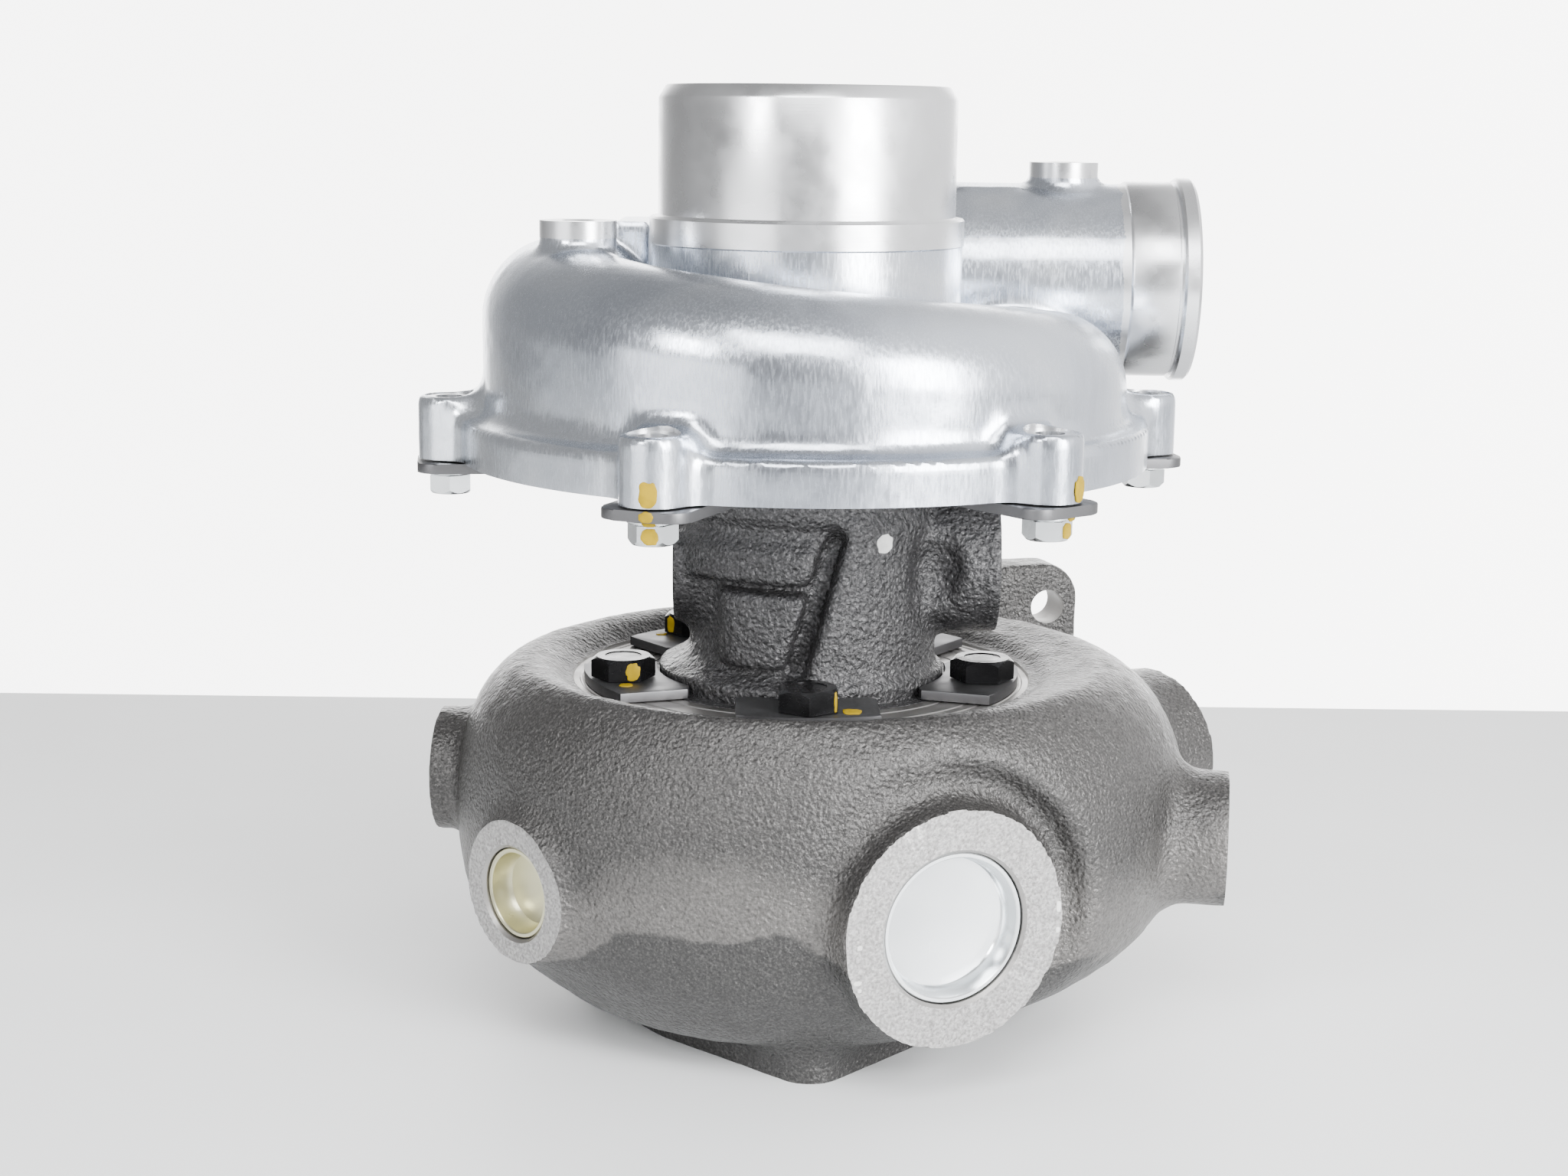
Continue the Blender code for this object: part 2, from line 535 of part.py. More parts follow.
# ---- bearing housing ------------------------------------------------------------------------
def bearing_housing():
    housing = turned("bearing_housing", [
        (0, HOUSING_TOP), (HOUSING_R, HOUSING_TOP), (HOUSING_R, 160.0), (36.5, 150.0),
        (36.5, 120.0), (40.0, 113.5), (SKIRT_R, 110.0), (SKIRT_R, RING_Z), (FLANGE_R, RING_Z),
        (FLANGE_R, 96.9), (NOSE_R, 96.9), (NOSE_R, NOSE_BOTTOM), (0, NOSE_BOTTOM)], BLACK_IRON)
    left_pad = cylinders("oil_inlet_boss", [
        ((0, 0, OIL_PAD_Z), (OIL_PAD_LEFT, 0, OIL_PAD_Z), 20.0)], segments=TUBE)
    right_pad = cylinders("oil_drain_boss", [
        ((0, 0, OIL_PAD_Z), (OIL_PAD_RIGHT, 0, OIL_PAD_Z), 24.0)], segments=TUBE)
    lug = plate_mesh("front_lug", [rounded_box(16.0, 22.0, 5.0, 3)], 34.0)
    place_mesh(lug, Matrix.Translation((M(17.0), M(-22.0), M(143.0))))
    join(housing, left_pad, right_pad, add_object("front_lug", lug))

    bore = turned("bearing_housing_bore", [
        (0, 180.0), (25.0, 180.0), (25.0, 165.1), (15.0, 165.1), (15.0, 162.8), (8.65, 162.8),
        (8.65, 149.2), (9.7, 149.2), (9.7, 147.4), (12.0, 147.4), (12.0, 126.4), (9.7, 126.4),
        (9.7, 124.2), (8.65, 124.2), (8.65, 109.7), (6.2, 109.7), (6.2, 107.0), (20.0, 107.0),
        (20.0, 98.5), (10.4, 98.5), (10.4, 80.0), (0, 80.0)], steps=FINE)
    outside = OIL_PAD_RIGHT + 5
    ports = [((-50.0, 0, OIL_PORT_Z), (-3.0, 0, OIL_PORT_Z), 4.0),
             ((outside, 0, OIL_PORT_Z), (3.0, 0, OIL_PORT_Z), 8.0)]
    for y in (-13.0, 13.0):
        ports.append(((-50.0, y, OIL_PAD_Z), (-30.0, y, OIL_PAD_Z), 3.2))
    for y in (-17.0, 17.0):
        ports.append(((outside, y, OIL_PAD_Z), (OIL_PAD_RIGHT - 14, y, OIL_PAD_Z), 3.4))
    oil_holes = cylinders("oil_holes", ports, segments=12)
    drain_gallery = cylinders("drain_gallery", [
        ((25.0, 0, OIL_PORT_Z), (13.0, 0, 101.0), 5.5)], segments=12)
    screws = [(backplate_screw_at(i, 166.0), backplate_screw_at(i, 180.0), 2.9)
              for i in range(BACKPLATE_SCREWS)]
    cut(housing, bore, oil_holes, drain_gallery, cylinders("housing_screw_holes", screws))


# ---- turbine housing ------------------------------------------------------------------------
def shell_radius(azimuth):
    """Outer radius of the turbine housing, smooth through its values at every 45 degrees."""
    around = (97.0, 108.0, 122.0, 118.0, 108.0, 106.5, 108.5, 100.0)
    place = (azimuth % 360) / 45
    i = int(place) % 8
    t = place - int(place)
    a, b, c, d = (around[(i + k) % 8] for k in (-1, 0, 1, 2))
    return b + 0.5 * t * (c - a + t * (2 * a - 5 * b + 4 * c - d + t * (3 * (b - c) + d - a)))


SHELL_PROFILE = (       # radius and height of the shell where its outer radius is 105.7
    (73.0, 106.0), (79.5, 110.4), (87.0, 111.0), (94.0, 105.5), (100.0, 96.0), (104.2, 82.0),
    (105.7, 64.2), (104.2, 47.0), (100.0, 33.0), (92.0, 22.5), (82.0, 15.0), (72.0, 10.0))


def shell_section(azimuth):
    stretch = (shell_radius(azimuth) - 60.0) / 45.7
    outline = [(60.0 + (r - 60.0) * (stretch if r > 79.5 else 1.0 + (stretch - 1.0) * 0.2), z)
               for r, z in SHELL_PROFILE]
    return spun([(26.0, 106.0)] + outline + [(26.0, 9.0)], azimuth)


def gas_point(along, z=GAS_Z, side=0.0):
    """A point on the gas inlet's centreline, along mm out from abreast of the shaft."""
    return at(GAS_AZ, GAS_OFFSET + side, z) + at(GAS_AZ + 90, along)


def gas_passage(travel):
    radius = GAS_SCROLL_R - GAS_SCROLL_SHRINK * travel / GAS_SCROLL_TURN
    return circle((GAS_SCROLL_INNER_R + radius, GAS_Z + 0.7), radius, 12)


def turbine_housing():
    sections = [shell_section(-360 / ROUND * i) for i in range(ROUND)]
    shell = loft("turbine_housing", sections, ring=True, look=DARK_IRON)

    foot = plate_mesh("foot", [foot_outline()], FOOT_THICKNESS)
    place_mesh(foot, Matrix.Translation((0, 0, M(FOOT_THICKNESS / 2))))
    duct = cylinders("gas_duct", [(gas_point(0), gas_point(100.0), GAS_WALL_R)], segments=TUBE)
    join(shell, add_object("foot_flange", foot), duct, inlet_flange())

    for where, (azimuth, z, face, aim, radius, _, _) in BOSSES.items():
        middle = at(azimuth, face, z)
        rod = [(middle - at(aim, 45.0), middle, radius)]
        join(shell, cylinders(f"boss_{where}", rod, segments=TUBE))

    bore = turned("turbine_bore", [
        (0, 118.0), (86.0, 118.0), (79.0, 109.5), (71.2, RING_Z), (50.0, RING_Z), (50.0, 95.0),
        (41.0, 95.0), (41.0, 79.7), (50.0, 79.7), (50.0, 66.5)] + exducer_shroud(0.8)
        + [(33.8, 40.0), (34.5, 20.0), (FOOT_BORE_R, -5.0), (0, -5.0)])
    passage = gas_scroll()
    straight = cylinders("gas_inlet_bore", [
        (gas_point(-2.0), gas_point(INLET_FLANGE_FAR + 5), GAS_BORE_R)], segments=TUBE)
    holes = []
    for i in range(TURBINE_BOLT_COUNT):
        azimuth = FIRST_TURBINE_BOLT_AZ + 360 / TURBINE_BOLT_COUNT * i
        holes.append((at(azimuth, TURBINE_BOLT_CIRCLE, 90.5),
                      at(azimuth, TURBINE_BOLT_CIRCLE, 120.0), M10_SHANK_R + THREAD_GAP))
    for azimuth in foot_lug_azimuths():
        holes.append((at(azimuth, FOOT_LUG_CIRCLE, -5.0),
                      at(azimuth, FOOT_LUG_CIRCLE, FOOT_HOLE_DEPTH), FOOT_HOLE_R))
    plug_bores = []
    for azimuth, z, face, aim, _, bore_r, depth in BOSSES.values():
        middle = at(azimuth, face, z)
        plug_bores.append((middle - at(aim, depth), middle + at(aim, 5), bore_r))
    cut(shell, bore, passage, straight, cylinders("housing_bolt_holes", holes),
        cylinders("plug_bores", plug_bores, segments=TUBE))


def foot_lug_azimuths():
    return [FIRST_FOOT_LUG_AZ + 360 / FOOT_LUGS * i for i in range(FOOT_LUGS)]


def foot_outline():
    """A round flange drawn out to a lug at each bolt."""
    waist = FOOT_LUG_CIRCLE * math.cos(math.radians(FOOT_LUG_SPREAD)) + FOOT_LUG_R
    between = 360 / FOOT_LUGS - 2 * FOOT_LUG_SPREAD
    points = []
    for azimuth in foot_lug_azimuths():
        for i in range(6):
            turn = azimuth - FOOT_LUG_SPREAD + 2 * FOOT_LUG_SPREAD * i / 5
            points.append(tuple((at(azimuth, FOOT_LUG_CIRCLE) + at(turn, FOOT_LUG_R)).xy))
        for i in range(1, 4):
            turn = azimuth + FOOT_LUG_SPREAD + between * i / 4
            points.append(tuple(at(turn, waist).xy))
    return points


def gas_scroll():
    """The gas scroll, shrinking round the wheel from the inlet to the tongue."""
    count = 18
    travels = [GAS_SCROLL_TURN * i / count for i in range(count + 1)]
    return loft("gas_scroll", [spun(gas_passage(t), GAS_AZ - t) for t in travels])


def inlet_flange():
    """The four-hole gas inlet flange at the back."""
    width, height, corner = INLET_FLANGE_SIZE
    half_x, half_z, hole_r = INLET_FLANGE_HOLES
    outlines = [rounded_box(width / 2, height / 2, corner)]
    for sx in (-1, 1):
        for sz in (-1, 1):
            outlines.append(circle((sx * half_x, sz * half_z), hole_r))
    thickness = INLET_FLANGE_FAR - INLET_FLANGE_NEAR
    mesh = plate_mesh("inlet_flange", outlines, thickness)
    upright = Matrix.Rotation(math.radians(90), 4, "X")
    turn = Matrix.Rotation(math.radians(GAS_AZ - 90), 4, "Z")
    middle = gas_point((INLET_FLANGE_FAR + INLET_FLANGE_NEAR) / 2) * 0.001
    place_mesh(mesh, Matrix.Translation(middle) @ turn @ upright)
    return add_object("inlet_flange", mesh)


def core_plug(name, boss, radius, look):
    """A pressed-in cup that closes a bore, its open side outward."""
    azimuth, z, face, aim = BOSSES[boss][:4]
    plug = turned(name, [
        (0, -8.6), (radius - 1.6, -8.6), (radius - 1.6, -1.4), (radius, -1.4),
        (radius, -10.4), (0, -10.4)], look, steps=TUBE)
    plug.location = at(azimuth, face, z) * 0.001
    plug.rotation_euler = (math.radians(90), 0, math.radians(aim))


def heat_shield():
    turned("heat_shield", [
        (12.5, 82.0), (39.4, 82.0), (39.4, 96.5), (49.2, 96.5), (49.2, 95.3), (40.5, 95.3),
        (40.5, 80.7), (12.5, 80.7)], PLATE_STEEL, TUBE)


# ---- rotor ----------------------------------------------------------------------------------
def exducer_shroud(gap=0.0):
    """The turbine wheel's outer contour from the inlet tip to the straight part."""
    points = []
    for i in range(5):
        t = math.radians(90 * i / 4)
        r = EXDUCER_R + gap + (TURBINE_R - EXDUCER_R + 0.3) * (1 - math.sin(t))
        z = 55.0 + (66.5 - 55.0 + (0.9 - gap)) * math.cos(t)
        points.append((r, z))
    return points


def blades(name, hub, tip, wrap, count, first, thickness, sections=5):
    """Curved blades standing on a hub, as one mesh of separate solids.

    hub and tip give (radius, z) along the blade and wrap gives its azimuth, for 0 to 1.
    """
    bm = bmesh.new()
    for n in range(count):
        rows = []
        for i in range(sections + 1):
            t = i / sections
            corners = []
            for (r, z), half in ((hub(t), thickness * 0.7), (tip(t), thickness * 0.4)):
                spread = math.degrees(half / max(r, 1.0))
                azimuth = first + 360 / count * n + wrap(t)
                corners += [at(azimuth - spread, r, z), at(azimuth + spread, r, z)]
            rows.append([bm.verts.new(p * 0.001) for p in
                         (corners[0], corners[1], corners[3], corners[2])])
        for here, there in zip(rows, rows[1:]):
            for j in range(4):
                k = (j + 1) % 4
                bm.faces.new((here[j], here[k], there[k], there[j]))
        bm.faces.new(rows[0][::-1])
        bm.faces.new(rows[-1])
    return add_object(name, mesh_from(bm, name), parent=ROTOR)


def compressor_hub(t, sink=0.0):
    """The compressor wheel's hub line from the nose to the tip."""
    a = math.radians(90 * t)
    return (9.0 + (WHEEL_R - 9.0) * (1 - math.cos(a)) - sink,
            185.4 + 38.0 * (1 - math.sin(a)) - sink)


def compressor_wheel():
    line = [compressor_hub(i / 6) for i in range(7)]
    wheel = turned("compressor_wheel",
                   [(SHAFT_R + GAP, line[0][1])] + line + [(WHEEL_R, 183.7), (14.0, 183.4),
                                                           (SHAFT_R + GAP, 183.4)],
                   ALUMINIUM, steps=FINE, parent=ROTOR)

    def hub(start):
        def line_at(t):
            r, z = compressor_hub(start + (0.96 - start) * t, 0.0)
            return (max(r - 1.2, 7.5), z - 0.6)
        return line_at

    def tip(start):
        def line_at(t):
            a = math.radians(90 * (start + (1 - start) * t))
            if a == 0:
                return (INDUCER_R, INDUCER_TOP)
            r = INDUCER_R + (WHEEL_R - INDUCER_R - 0.2) * (1 - math.cos(a))
            return (r, 186.4 + 25.0 * (1 - math.sin(a)))
        return line_at

    def wrap(start):
        def angle(t):
            s = start + (1 - start) * t
            return 62.0 * s - 22.0 * s * s
        return angle

    full = blades("full_blades", hub(0.02), tip(0.0), wrap(0.0), 6, 0.0, 1.3)
    splitters = blades("splitter_blades", hub(0.35), tip(0.35), wrap(0.35), 6, 30.0, 1.3, 3)
    join(wheel, full, splitters)


def turbine_wheel():
    """The turbine wheel and its shaft, welded into one piece."""
    hub_line = []
    for i in range(7):
        a = math.radians(90 * i / 6)
        hub_line.append((9.0 + 28.3 * (1 - math.cos(a)), 77.8 - 30.0 * (1 - math.sin(a))))
    rotor = turned("turbine_wheel_and_shaft", [
        (0, 235.0), (SHAFT_R - 0.8, 235.0), (SHAFT_R, 234.0), (SHAFT_R, 163.0), (JOURNAL_R, 163.0),
        (JOURNAL_R, 98.0), (SEAL_R, 97.0), (SEAL_R, 91.8), (8.0, 91.8), (8.0, 89.4),
        (SEAL_R, 89.4), (SEAL_R, 84.0), (11.0, 79.6), (37.3, 79.4)] + hub_line[::-1]
        + [(8.4, 41.5), (6.0, 38.5), (0, 38.0)], NICKEL_ALLOY, steps=FINE, parent=ROTOR)

    def hub(t):
        a = math.radians(90 * (1 - 0.97 * t))
        return (8.0 + 28.3 * (1 - math.cos(a)), 78.3 - 30.0 * (1 - math.sin(a)) - 1.0 * t)

    def tip(t):
        if t < 0.6:
            a = math.radians(150 * t)
            return (EXDUCER_R + (TURBINE_R - EXDUCER_R) * (1 - math.sin(a)),
                    55.0 + 12.4 * math.cos(a))
        return (EXDUCER_R, 55.0 - 9.0 * (t - 0.6) / 0.4)

    def wrap(t):
        return -38.0 * t ** 2.2

    join(rotor, blades("turbine_blades", hub, tip, wrap, 11, 0.0, 1.7))


def rotor_small_parts():
    """Nut, slinger and thrust collar on the shaft, and the seal rings in their grooves."""
    nut = cylinders("shaft_nut", [((0, 0, 223.8), (0, 0, 231.0), 8.1)], MACHINED_STEEL, 6, ROTOR)
    bore = cylinders("nut_bore", [((0, 0, 220.0), (0, 0, 240.0), SHAFT_R + GAP)], segments=FINE,
                     parent=ROTOR)
    cut(nut, bore)
    inner = SHAFT_R + GAP
    turned("thrust_collar", [(inner, 169.5), (7.5, 169.5), (7.5, 165.0), (13.0, 165.0),
                             (13.0, 163.3), (inner, 163.3)], MACHINED_STEEL, FINE, ROTOR)
    turned("oil_slinger", [
        (inner, 183.1), (SEAL_R, 183.1), (SEAL_R, 179.6), (8.0, 179.6), (8.0, 177.4),
        (SEAL_R, 177.4), (SEAL_R, 171.3), (13.0, 171.3), (13.0, 169.8), (inner, 169.8)],
        MACHINED_STEEL, FINE, ROTOR)


def square_ring(name, inner, outer, bottom, top, look, steps=FINE, parent=SHAFT):
    outline = [(inner, top), (outer, top), (outer, bottom), (inner, bottom)]
    return turned(name, outline, look, steps, parent)


def bearing_parts():
    """The bearings, seals and rings between the rotor and the housing."""
    square_ring("seal_ring_compressor", 8.4, 10.1, 177.8, 179.2, MACHINED_STEEL)
    square_ring("seal_ring_turbine", 8.4, 10.1, 89.9, 91.3, MACHINED_STEEL)
    square_ring("thrust_bearing", 7.9, 24.6, 165.4, 169.4, BRONZE)
    turned("oil_deflector", [
        (13.8, 170.9), (23.4, 170.9), (23.4, 174.9), (24.5, 174.9), (24.5, 169.9),
        (13.8, 169.9)], PLATE_STEEL, FINE)
    square_ring("retaining_ring_upper", 7.2, 9.4, 147.8, 148.9, MACHINED_STEEL)
    square_ring("retaining_ring_lower", 7.2, 9.4, 124.6, 125.8, MACHINED_STEEL)
    for name, bottom, top in (("floating_bearing_upper", 149.4, 162.2),
                              ("floating_bearing_lower", 110.1, 124.1)):
        bush = square_ring(name, 5.9, 8.3, bottom, top, BRONZE, FINE, ROTOR)
        feeds = []
        for i in range(3):
            middle = (bottom + top) / 2
            feeds.append((at(60 * i, 12.0, middle), at(60 * i + 180, 12.0, middle), 1.0))
        for i, feed in enumerate(feeds):
            cut(bush, cylinders(f"{name}_feed_{i + 1}", [feed], segments=8, parent=ROTOR))


compressor_cover()
cover_fasteners()
backplate()
bearing_housing()
turbine_fasteners()
turbine_housing()
core_plug("core_plug_front", "front", 22.0, ZINC)
core_plug("core_plug_front_left", "front_left", 13.5, YELLOW_ZINC)
core_plug("core_plug_rear", "rear_right", 18.0, ZINC)
heat_shield()
turbine_wheel()
compressor_wheel()
rotor_small_parts()
bearing_parts()
bpy.context.view_layer.update()
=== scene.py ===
"""Looks for the turbocharger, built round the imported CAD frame.

Lengths are in millimetres from the shaft (x, y) and the underside of the foot (z) unless a name
ends in _m, and world() turns them into metres in the row frame. Azimuths are in degrees: 0 is the
front (-Y) and +90 is the right (+X).
"""
import json
import math

import bmesh
import bpy
import numpy as np
import openvdb
from mathutils import Matrix, Vector

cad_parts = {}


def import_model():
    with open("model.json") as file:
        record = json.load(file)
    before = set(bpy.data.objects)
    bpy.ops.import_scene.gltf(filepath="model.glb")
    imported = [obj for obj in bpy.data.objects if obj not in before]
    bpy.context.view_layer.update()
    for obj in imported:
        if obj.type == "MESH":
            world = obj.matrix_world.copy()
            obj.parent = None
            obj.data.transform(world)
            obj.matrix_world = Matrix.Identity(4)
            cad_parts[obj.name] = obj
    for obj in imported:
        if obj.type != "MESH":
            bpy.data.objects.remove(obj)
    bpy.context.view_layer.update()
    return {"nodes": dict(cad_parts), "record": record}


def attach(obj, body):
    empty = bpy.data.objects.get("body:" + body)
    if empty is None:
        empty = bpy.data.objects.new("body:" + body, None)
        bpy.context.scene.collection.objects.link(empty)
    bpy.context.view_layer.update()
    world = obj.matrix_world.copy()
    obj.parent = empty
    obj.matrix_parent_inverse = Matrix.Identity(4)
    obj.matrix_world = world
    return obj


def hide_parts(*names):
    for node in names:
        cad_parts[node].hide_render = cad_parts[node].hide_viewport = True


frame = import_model()

SHAFT_M = Vector(frame["record"]["behaviour"]["joints"][0]["pos_m"])
SHAFT_M.z = 0.0
MM = 0.001
ONTO_SHAFT = Matrix.Translation(SHAFT_M) @ Matrix.Scale(MM, 4)
STATIC, ROTOR = "housing", "rotor"


def at(azimuth, radius, z=0.0):
    angle = math.radians(azimuth)
    return Vector((radius * math.sin(angle), -radius * math.cos(angle), z))


def world(point):
    return SHAFT_M + Vector(point) * MM


# ---- camera ---------------------------------------------------------------------------------
camera = bpy.data.objects.new("camera", bpy.data.cameras.new("camera"))
bpy.context.scene.collection.objects.link(camera)
bpy.context.scene.camera = camera
camera.data.sensor_width = 36.0
camera.data.lens = 54.07
camera.matrix_world = (
    Matrix.Translation(world((-5.6, -722.3, 276.2)))
    @ Matrix.Rotation(math.radians(90 - 11.21), 4, "X")
    @ Matrix.Rotation(math.radians(0.68), 4, "Z"))


# ---- materials ------------------------------------------------------------------------------
class Look:
    """Builds one procedural material: colour, roughness and bump from 3D noise."""

    def __init__(self, name, metallic, colour, rough):
        self.made = bpy.data.materials.new(name)
        self.made.use_nodes = True
        self.tree = self.made.node_tree
        self.shader = self.tree.nodes["Principled BSDF"]
        self.shader.inputs["Metallic"].default_value = metallic
        self.shader.inputs["Base Color"].default_value = (*colour, 1.0)
        self.shader.inputs["Roughness"].default_value = rough
        self.made.diffuse_color = (*colour, 1.0)
        self.place = self.tree.nodes.new("ShaderNodeTexCoord").outputs["Object"]
        self.normal = None

    def stretched(self, scale):
        node = self.tree.nodes.new("ShaderNodeMapping")
        node.inputs["Scale"].default_value = scale
        self.tree.links.new(self.place, node.inputs["Vector"])
        return node.outputs["Vector"]

    def noise(self, scale, detail=3.0, stretch=None, distortion=0.0):
        node = self.tree.nodes.new("ShaderNodeTexNoise")
        node.inputs["Scale"].default_value = scale
        node.inputs["Detail"].default_value = detail
        node.inputs["Distortion"].default_value = distortion
        where = self.place if stretch is None else self.stretched(stretch)
        self.tree.links.new(where, node.inputs["Vector"])
        return node.outputs["Fac"]

    def cells(self, scale):
        node = self.tree.nodes.new("ShaderNodeTexVoronoi")
        node.feature = "SMOOTH_F1"
        node.inputs["Scale"].default_value = scale
        self.tree.links.new(self.place, node.inputs["Vector"])
        return node.outputs["Distance"]

    def height(self):
        node = self.tree.nodes.new("ShaderNodeSeparateXYZ")
        self.tree.links.new(self.place, node.inputs["Vector"])
        return node.outputs["Z"]

    def add(self, one, two):
        node = self.tree.nodes.new("ShaderNodeMath")
        self.tree.links.new(one, node.inputs[0])
        self.tree.links.new(two, node.inputs[1])
        return node.outputs["Value"]

    def spread(self, value, low, high, to_low, to_high):
        node = self.tree.nodes.new("ShaderNodeMapRange")
        for socket, number in (("From Min", low), ("From Max", high),
                               ("To Min", to_low), ("To Max", to_high)):
            node.inputs[socket].default_value = number
        self.tree.links.new(value, node.inputs["Value"])
        return node.outputs["Result"]

    def colour(self, value, stops):
        ramp = self.tree.nodes.new("ShaderNodeValToRGB")
        while len(ramp.color_ramp.elements) < len(stops):
            ramp.color_ramp.elements.new(0.5)
        for element, (position, shade) in zip(ramp.color_ramp.elements, stops):
            element.position = position
            element.color = (*shade, 1.0)
        self.tree.links.new(value, ramp.inputs["Fac"])
        return ramp.outputs["Color"]

    def blend(self, value, one, two):
        node = self.tree.nodes.new("ShaderNodeMix")
        node.data_type = "RGBA"
        self.tree.links.new(value, node.inputs["Factor"])
        self.tree.links.new(one, node.inputs["A"])
        self.tree.links.new(two, node.inputs["B"])
        return node.outputs["Result"]

    def paint(self, output):
        self.tree.links.new(output, self.shader.inputs["Base Color"])
        return self

    def rough(self, output):
        self.tree.links.new(output, self.shader.inputs["Roughness"])
        return self

    def bump(self, height, depth_mm, strength=1.0):
        node = self.tree.nodes.new("ShaderNodeBump")
        node.inputs["Distance"].default_value = depth_mm * MM
        node.inputs["Strength"].default_value = strength
        self.tree.links.new(height, node.inputs["Height"])
        if self.normal is not None:
            self.tree.links.new(self.normal, node.inputs["Normal"])
        self.normal = node.outputs["Normal"]
        self.tree.links.new(self.normal, self.shader.inputs["Normal"])
        return self


def cast_aluminium():
    """Blasted and brushed aluminium: cloudy, with fine upright strokes."""
    look = Look("cast_aluminium", 1.0, (0.62, 0.63, 0.66), 0.3)
    cloud = look.noise(15, 5.0, distortion=0.8)
    look.paint(look.colour(cloud, ((0.32, (0.43, 0.46, 0.52)), (0.48, (0.57, 0.61, 0.68)),
                                   (0.66, (0.70, 0.735, 0.79)))))
    strokes = look.noise(1.0, 4.0, (1500, 1500, 260))
    look.rough(look.spread(strokes, 0.32, 0.68, 0.18, 0.32))
    look.bump(look.noise(190, 3.0), 0.12, 0.4)
    look.bump(strokes, 0.04, 0.55)
    return look.made


def turned_metal(name, colour, low, high, lay, depth=0.02):
    """Turned or ground metal: fine marks that run round the shaft, and uneven polish."""
    look = Look(name, 1.0, colour, (low + high) / 2)
    dark = tuple(c * 0.9 for c in colour)
    light = tuple(min(1.0, c * 1.05) for c in colour)
    look.paint(look.colour(look.noise(24, 6.0), ((0.3, dark), (0.52, colour), (0.75, light))))
    look.rough(look.spread(look.noise(90, 4.0), 0.3, 0.7, low, high))
    look.bump(look.noise(1.0, 2.0, lay), depth, 0.6)
    return look.made


def cast_iron(name, dark, mid, light, low, high, metallic, grain, depth, coat=0.0, mottle_and_glint_scale=30):
    """Coated iron with the grain of a sand casting; at a fine mottle scale its light colour specks are
    partly painted glints.
    """
    look = Look(name, metallic, mid, (low + high) / 2)
    # Colour mottle: random tone, and at a fine scale light specks that are painted glints.
    look.paint(look.colour(look.noise(mottle_and_glint_scale, 4.0), ((0.38, dark), (0.54, mid), (0.7, light))))
    look.rough(look.spread(look.noise(150, 4.0), 0.3, 0.7, low, high))
    look.bump(look.noise(grain, 4.0, distortion=0.4), depth, 0.9)
    look.bump(look.cells(grain * 0.9), depth * 0.8, 0.6)
    look.shader.inputs["Coat Weight"].default_value = coat
    look.shader.inputs["Coat Roughness"].default_value = 0.28
    return look.made


def turbine_iron():
    """The turbine casting: speckled grain whose light specks are partly painted glints, rubbed paler in
    a ragged band and smoother below it.
    """
    look = Look("turbine_iron", 0.5, (0.06, 0.058, 0.057), 0.42)
    # The fine light specks in these colours are partly painted glints over random grain tone.
    base = look.colour(look.noise(1400, 2.0), (
        (0.36, (0.038, 0.037, 0.036)), (0.54, (0.06, 0.058, 0.057)), (0.72, (0.115, 0.111, 0.108))))
    pale = look.colour(look.noise(1100, 3.0), ((0.34, (0.092, 0.088, 0.084)),
                                               (0.68, (0.185, 0.177, 0.17))))
    low = look.colour(look.noise(1400, 2.0), (
        (0.36, (0.036, 0.035, 0.035)), (0.54, (0.052, 0.051, 0.05)), (0.72, (0.088, 0.086, 0.084))))
    ragged = look.spread(look.noise(17, 6.0, distortion=0.4), 0.25, 0.75, -0.017, 0.017)
    tide = look.add(look.height(), ragged)
    band = look.blend(look.spread(tide, 0.056, 0.074, 0.75, 0.0), base, pale)
    look.paint(look.blend(look.spread(tide, 0.0425, 0.0445, 1.0, 0.0), band, low))
    look.rough(look.spread(look.noise(260, 4.0), 0.32, 0.68, 0.26, 0.42))
    look.bump(look.noise(820, 3.0), 0.75, 0.95)
    look.bump(look.cells(760), 0.5, 0.7)
    return look.made


def faced_iron():
    """A boss face: cut flat but still grainy, with faint upright saw marks."""
    look = Look("faced_iron", 0.45, (0.25, 0.245, 0.24), 0.42)
    speckle = look.noise(1100, 4.0)
    look.paint(look.colour(speckle, ((0.32, (0.2, 0.194, 0.19)), (0.5, (0.31, 0.304, 0.3)),
                                     (0.68, (0.44, 0.432, 0.426)))))
    look.rough(look.spread(look.noise(300, 3.0), 0.3, 0.7, 0.3, 0.5))
    look.bump(look.noise(1100, 4.0), 0.3, 0.8)
    look.bump(look.noise(1.0, 2.0, (900, 900, 70)), 0.12, 0.6)
    return look.made


def paint_mark(name, colour):
    look = Look(name, 0.0, colour, 0.4)
    dark = tuple(c * 0.8 for c in colour)
    look.paint(look.colour(look.noise(300, 4.0), ((0.35, dark), (0.6, colour))))
    look.rough(look.spread(look.noise(500, 2.0), 0.3, 0.7, 0.45, 0.65))
    look.bump(look.noise(800, 2.0), 0.08, 0.5)
    look.shader.inputs["Specular IOR Level"].default_value = 0.2
    return look.made


ALUMINIUM = cast_aluminium()
TURNED_ALU = turned_metal("turned_aluminium", (0.72, 0.73, 0.75), 0.22, 0.36, (60, 60, 2600))
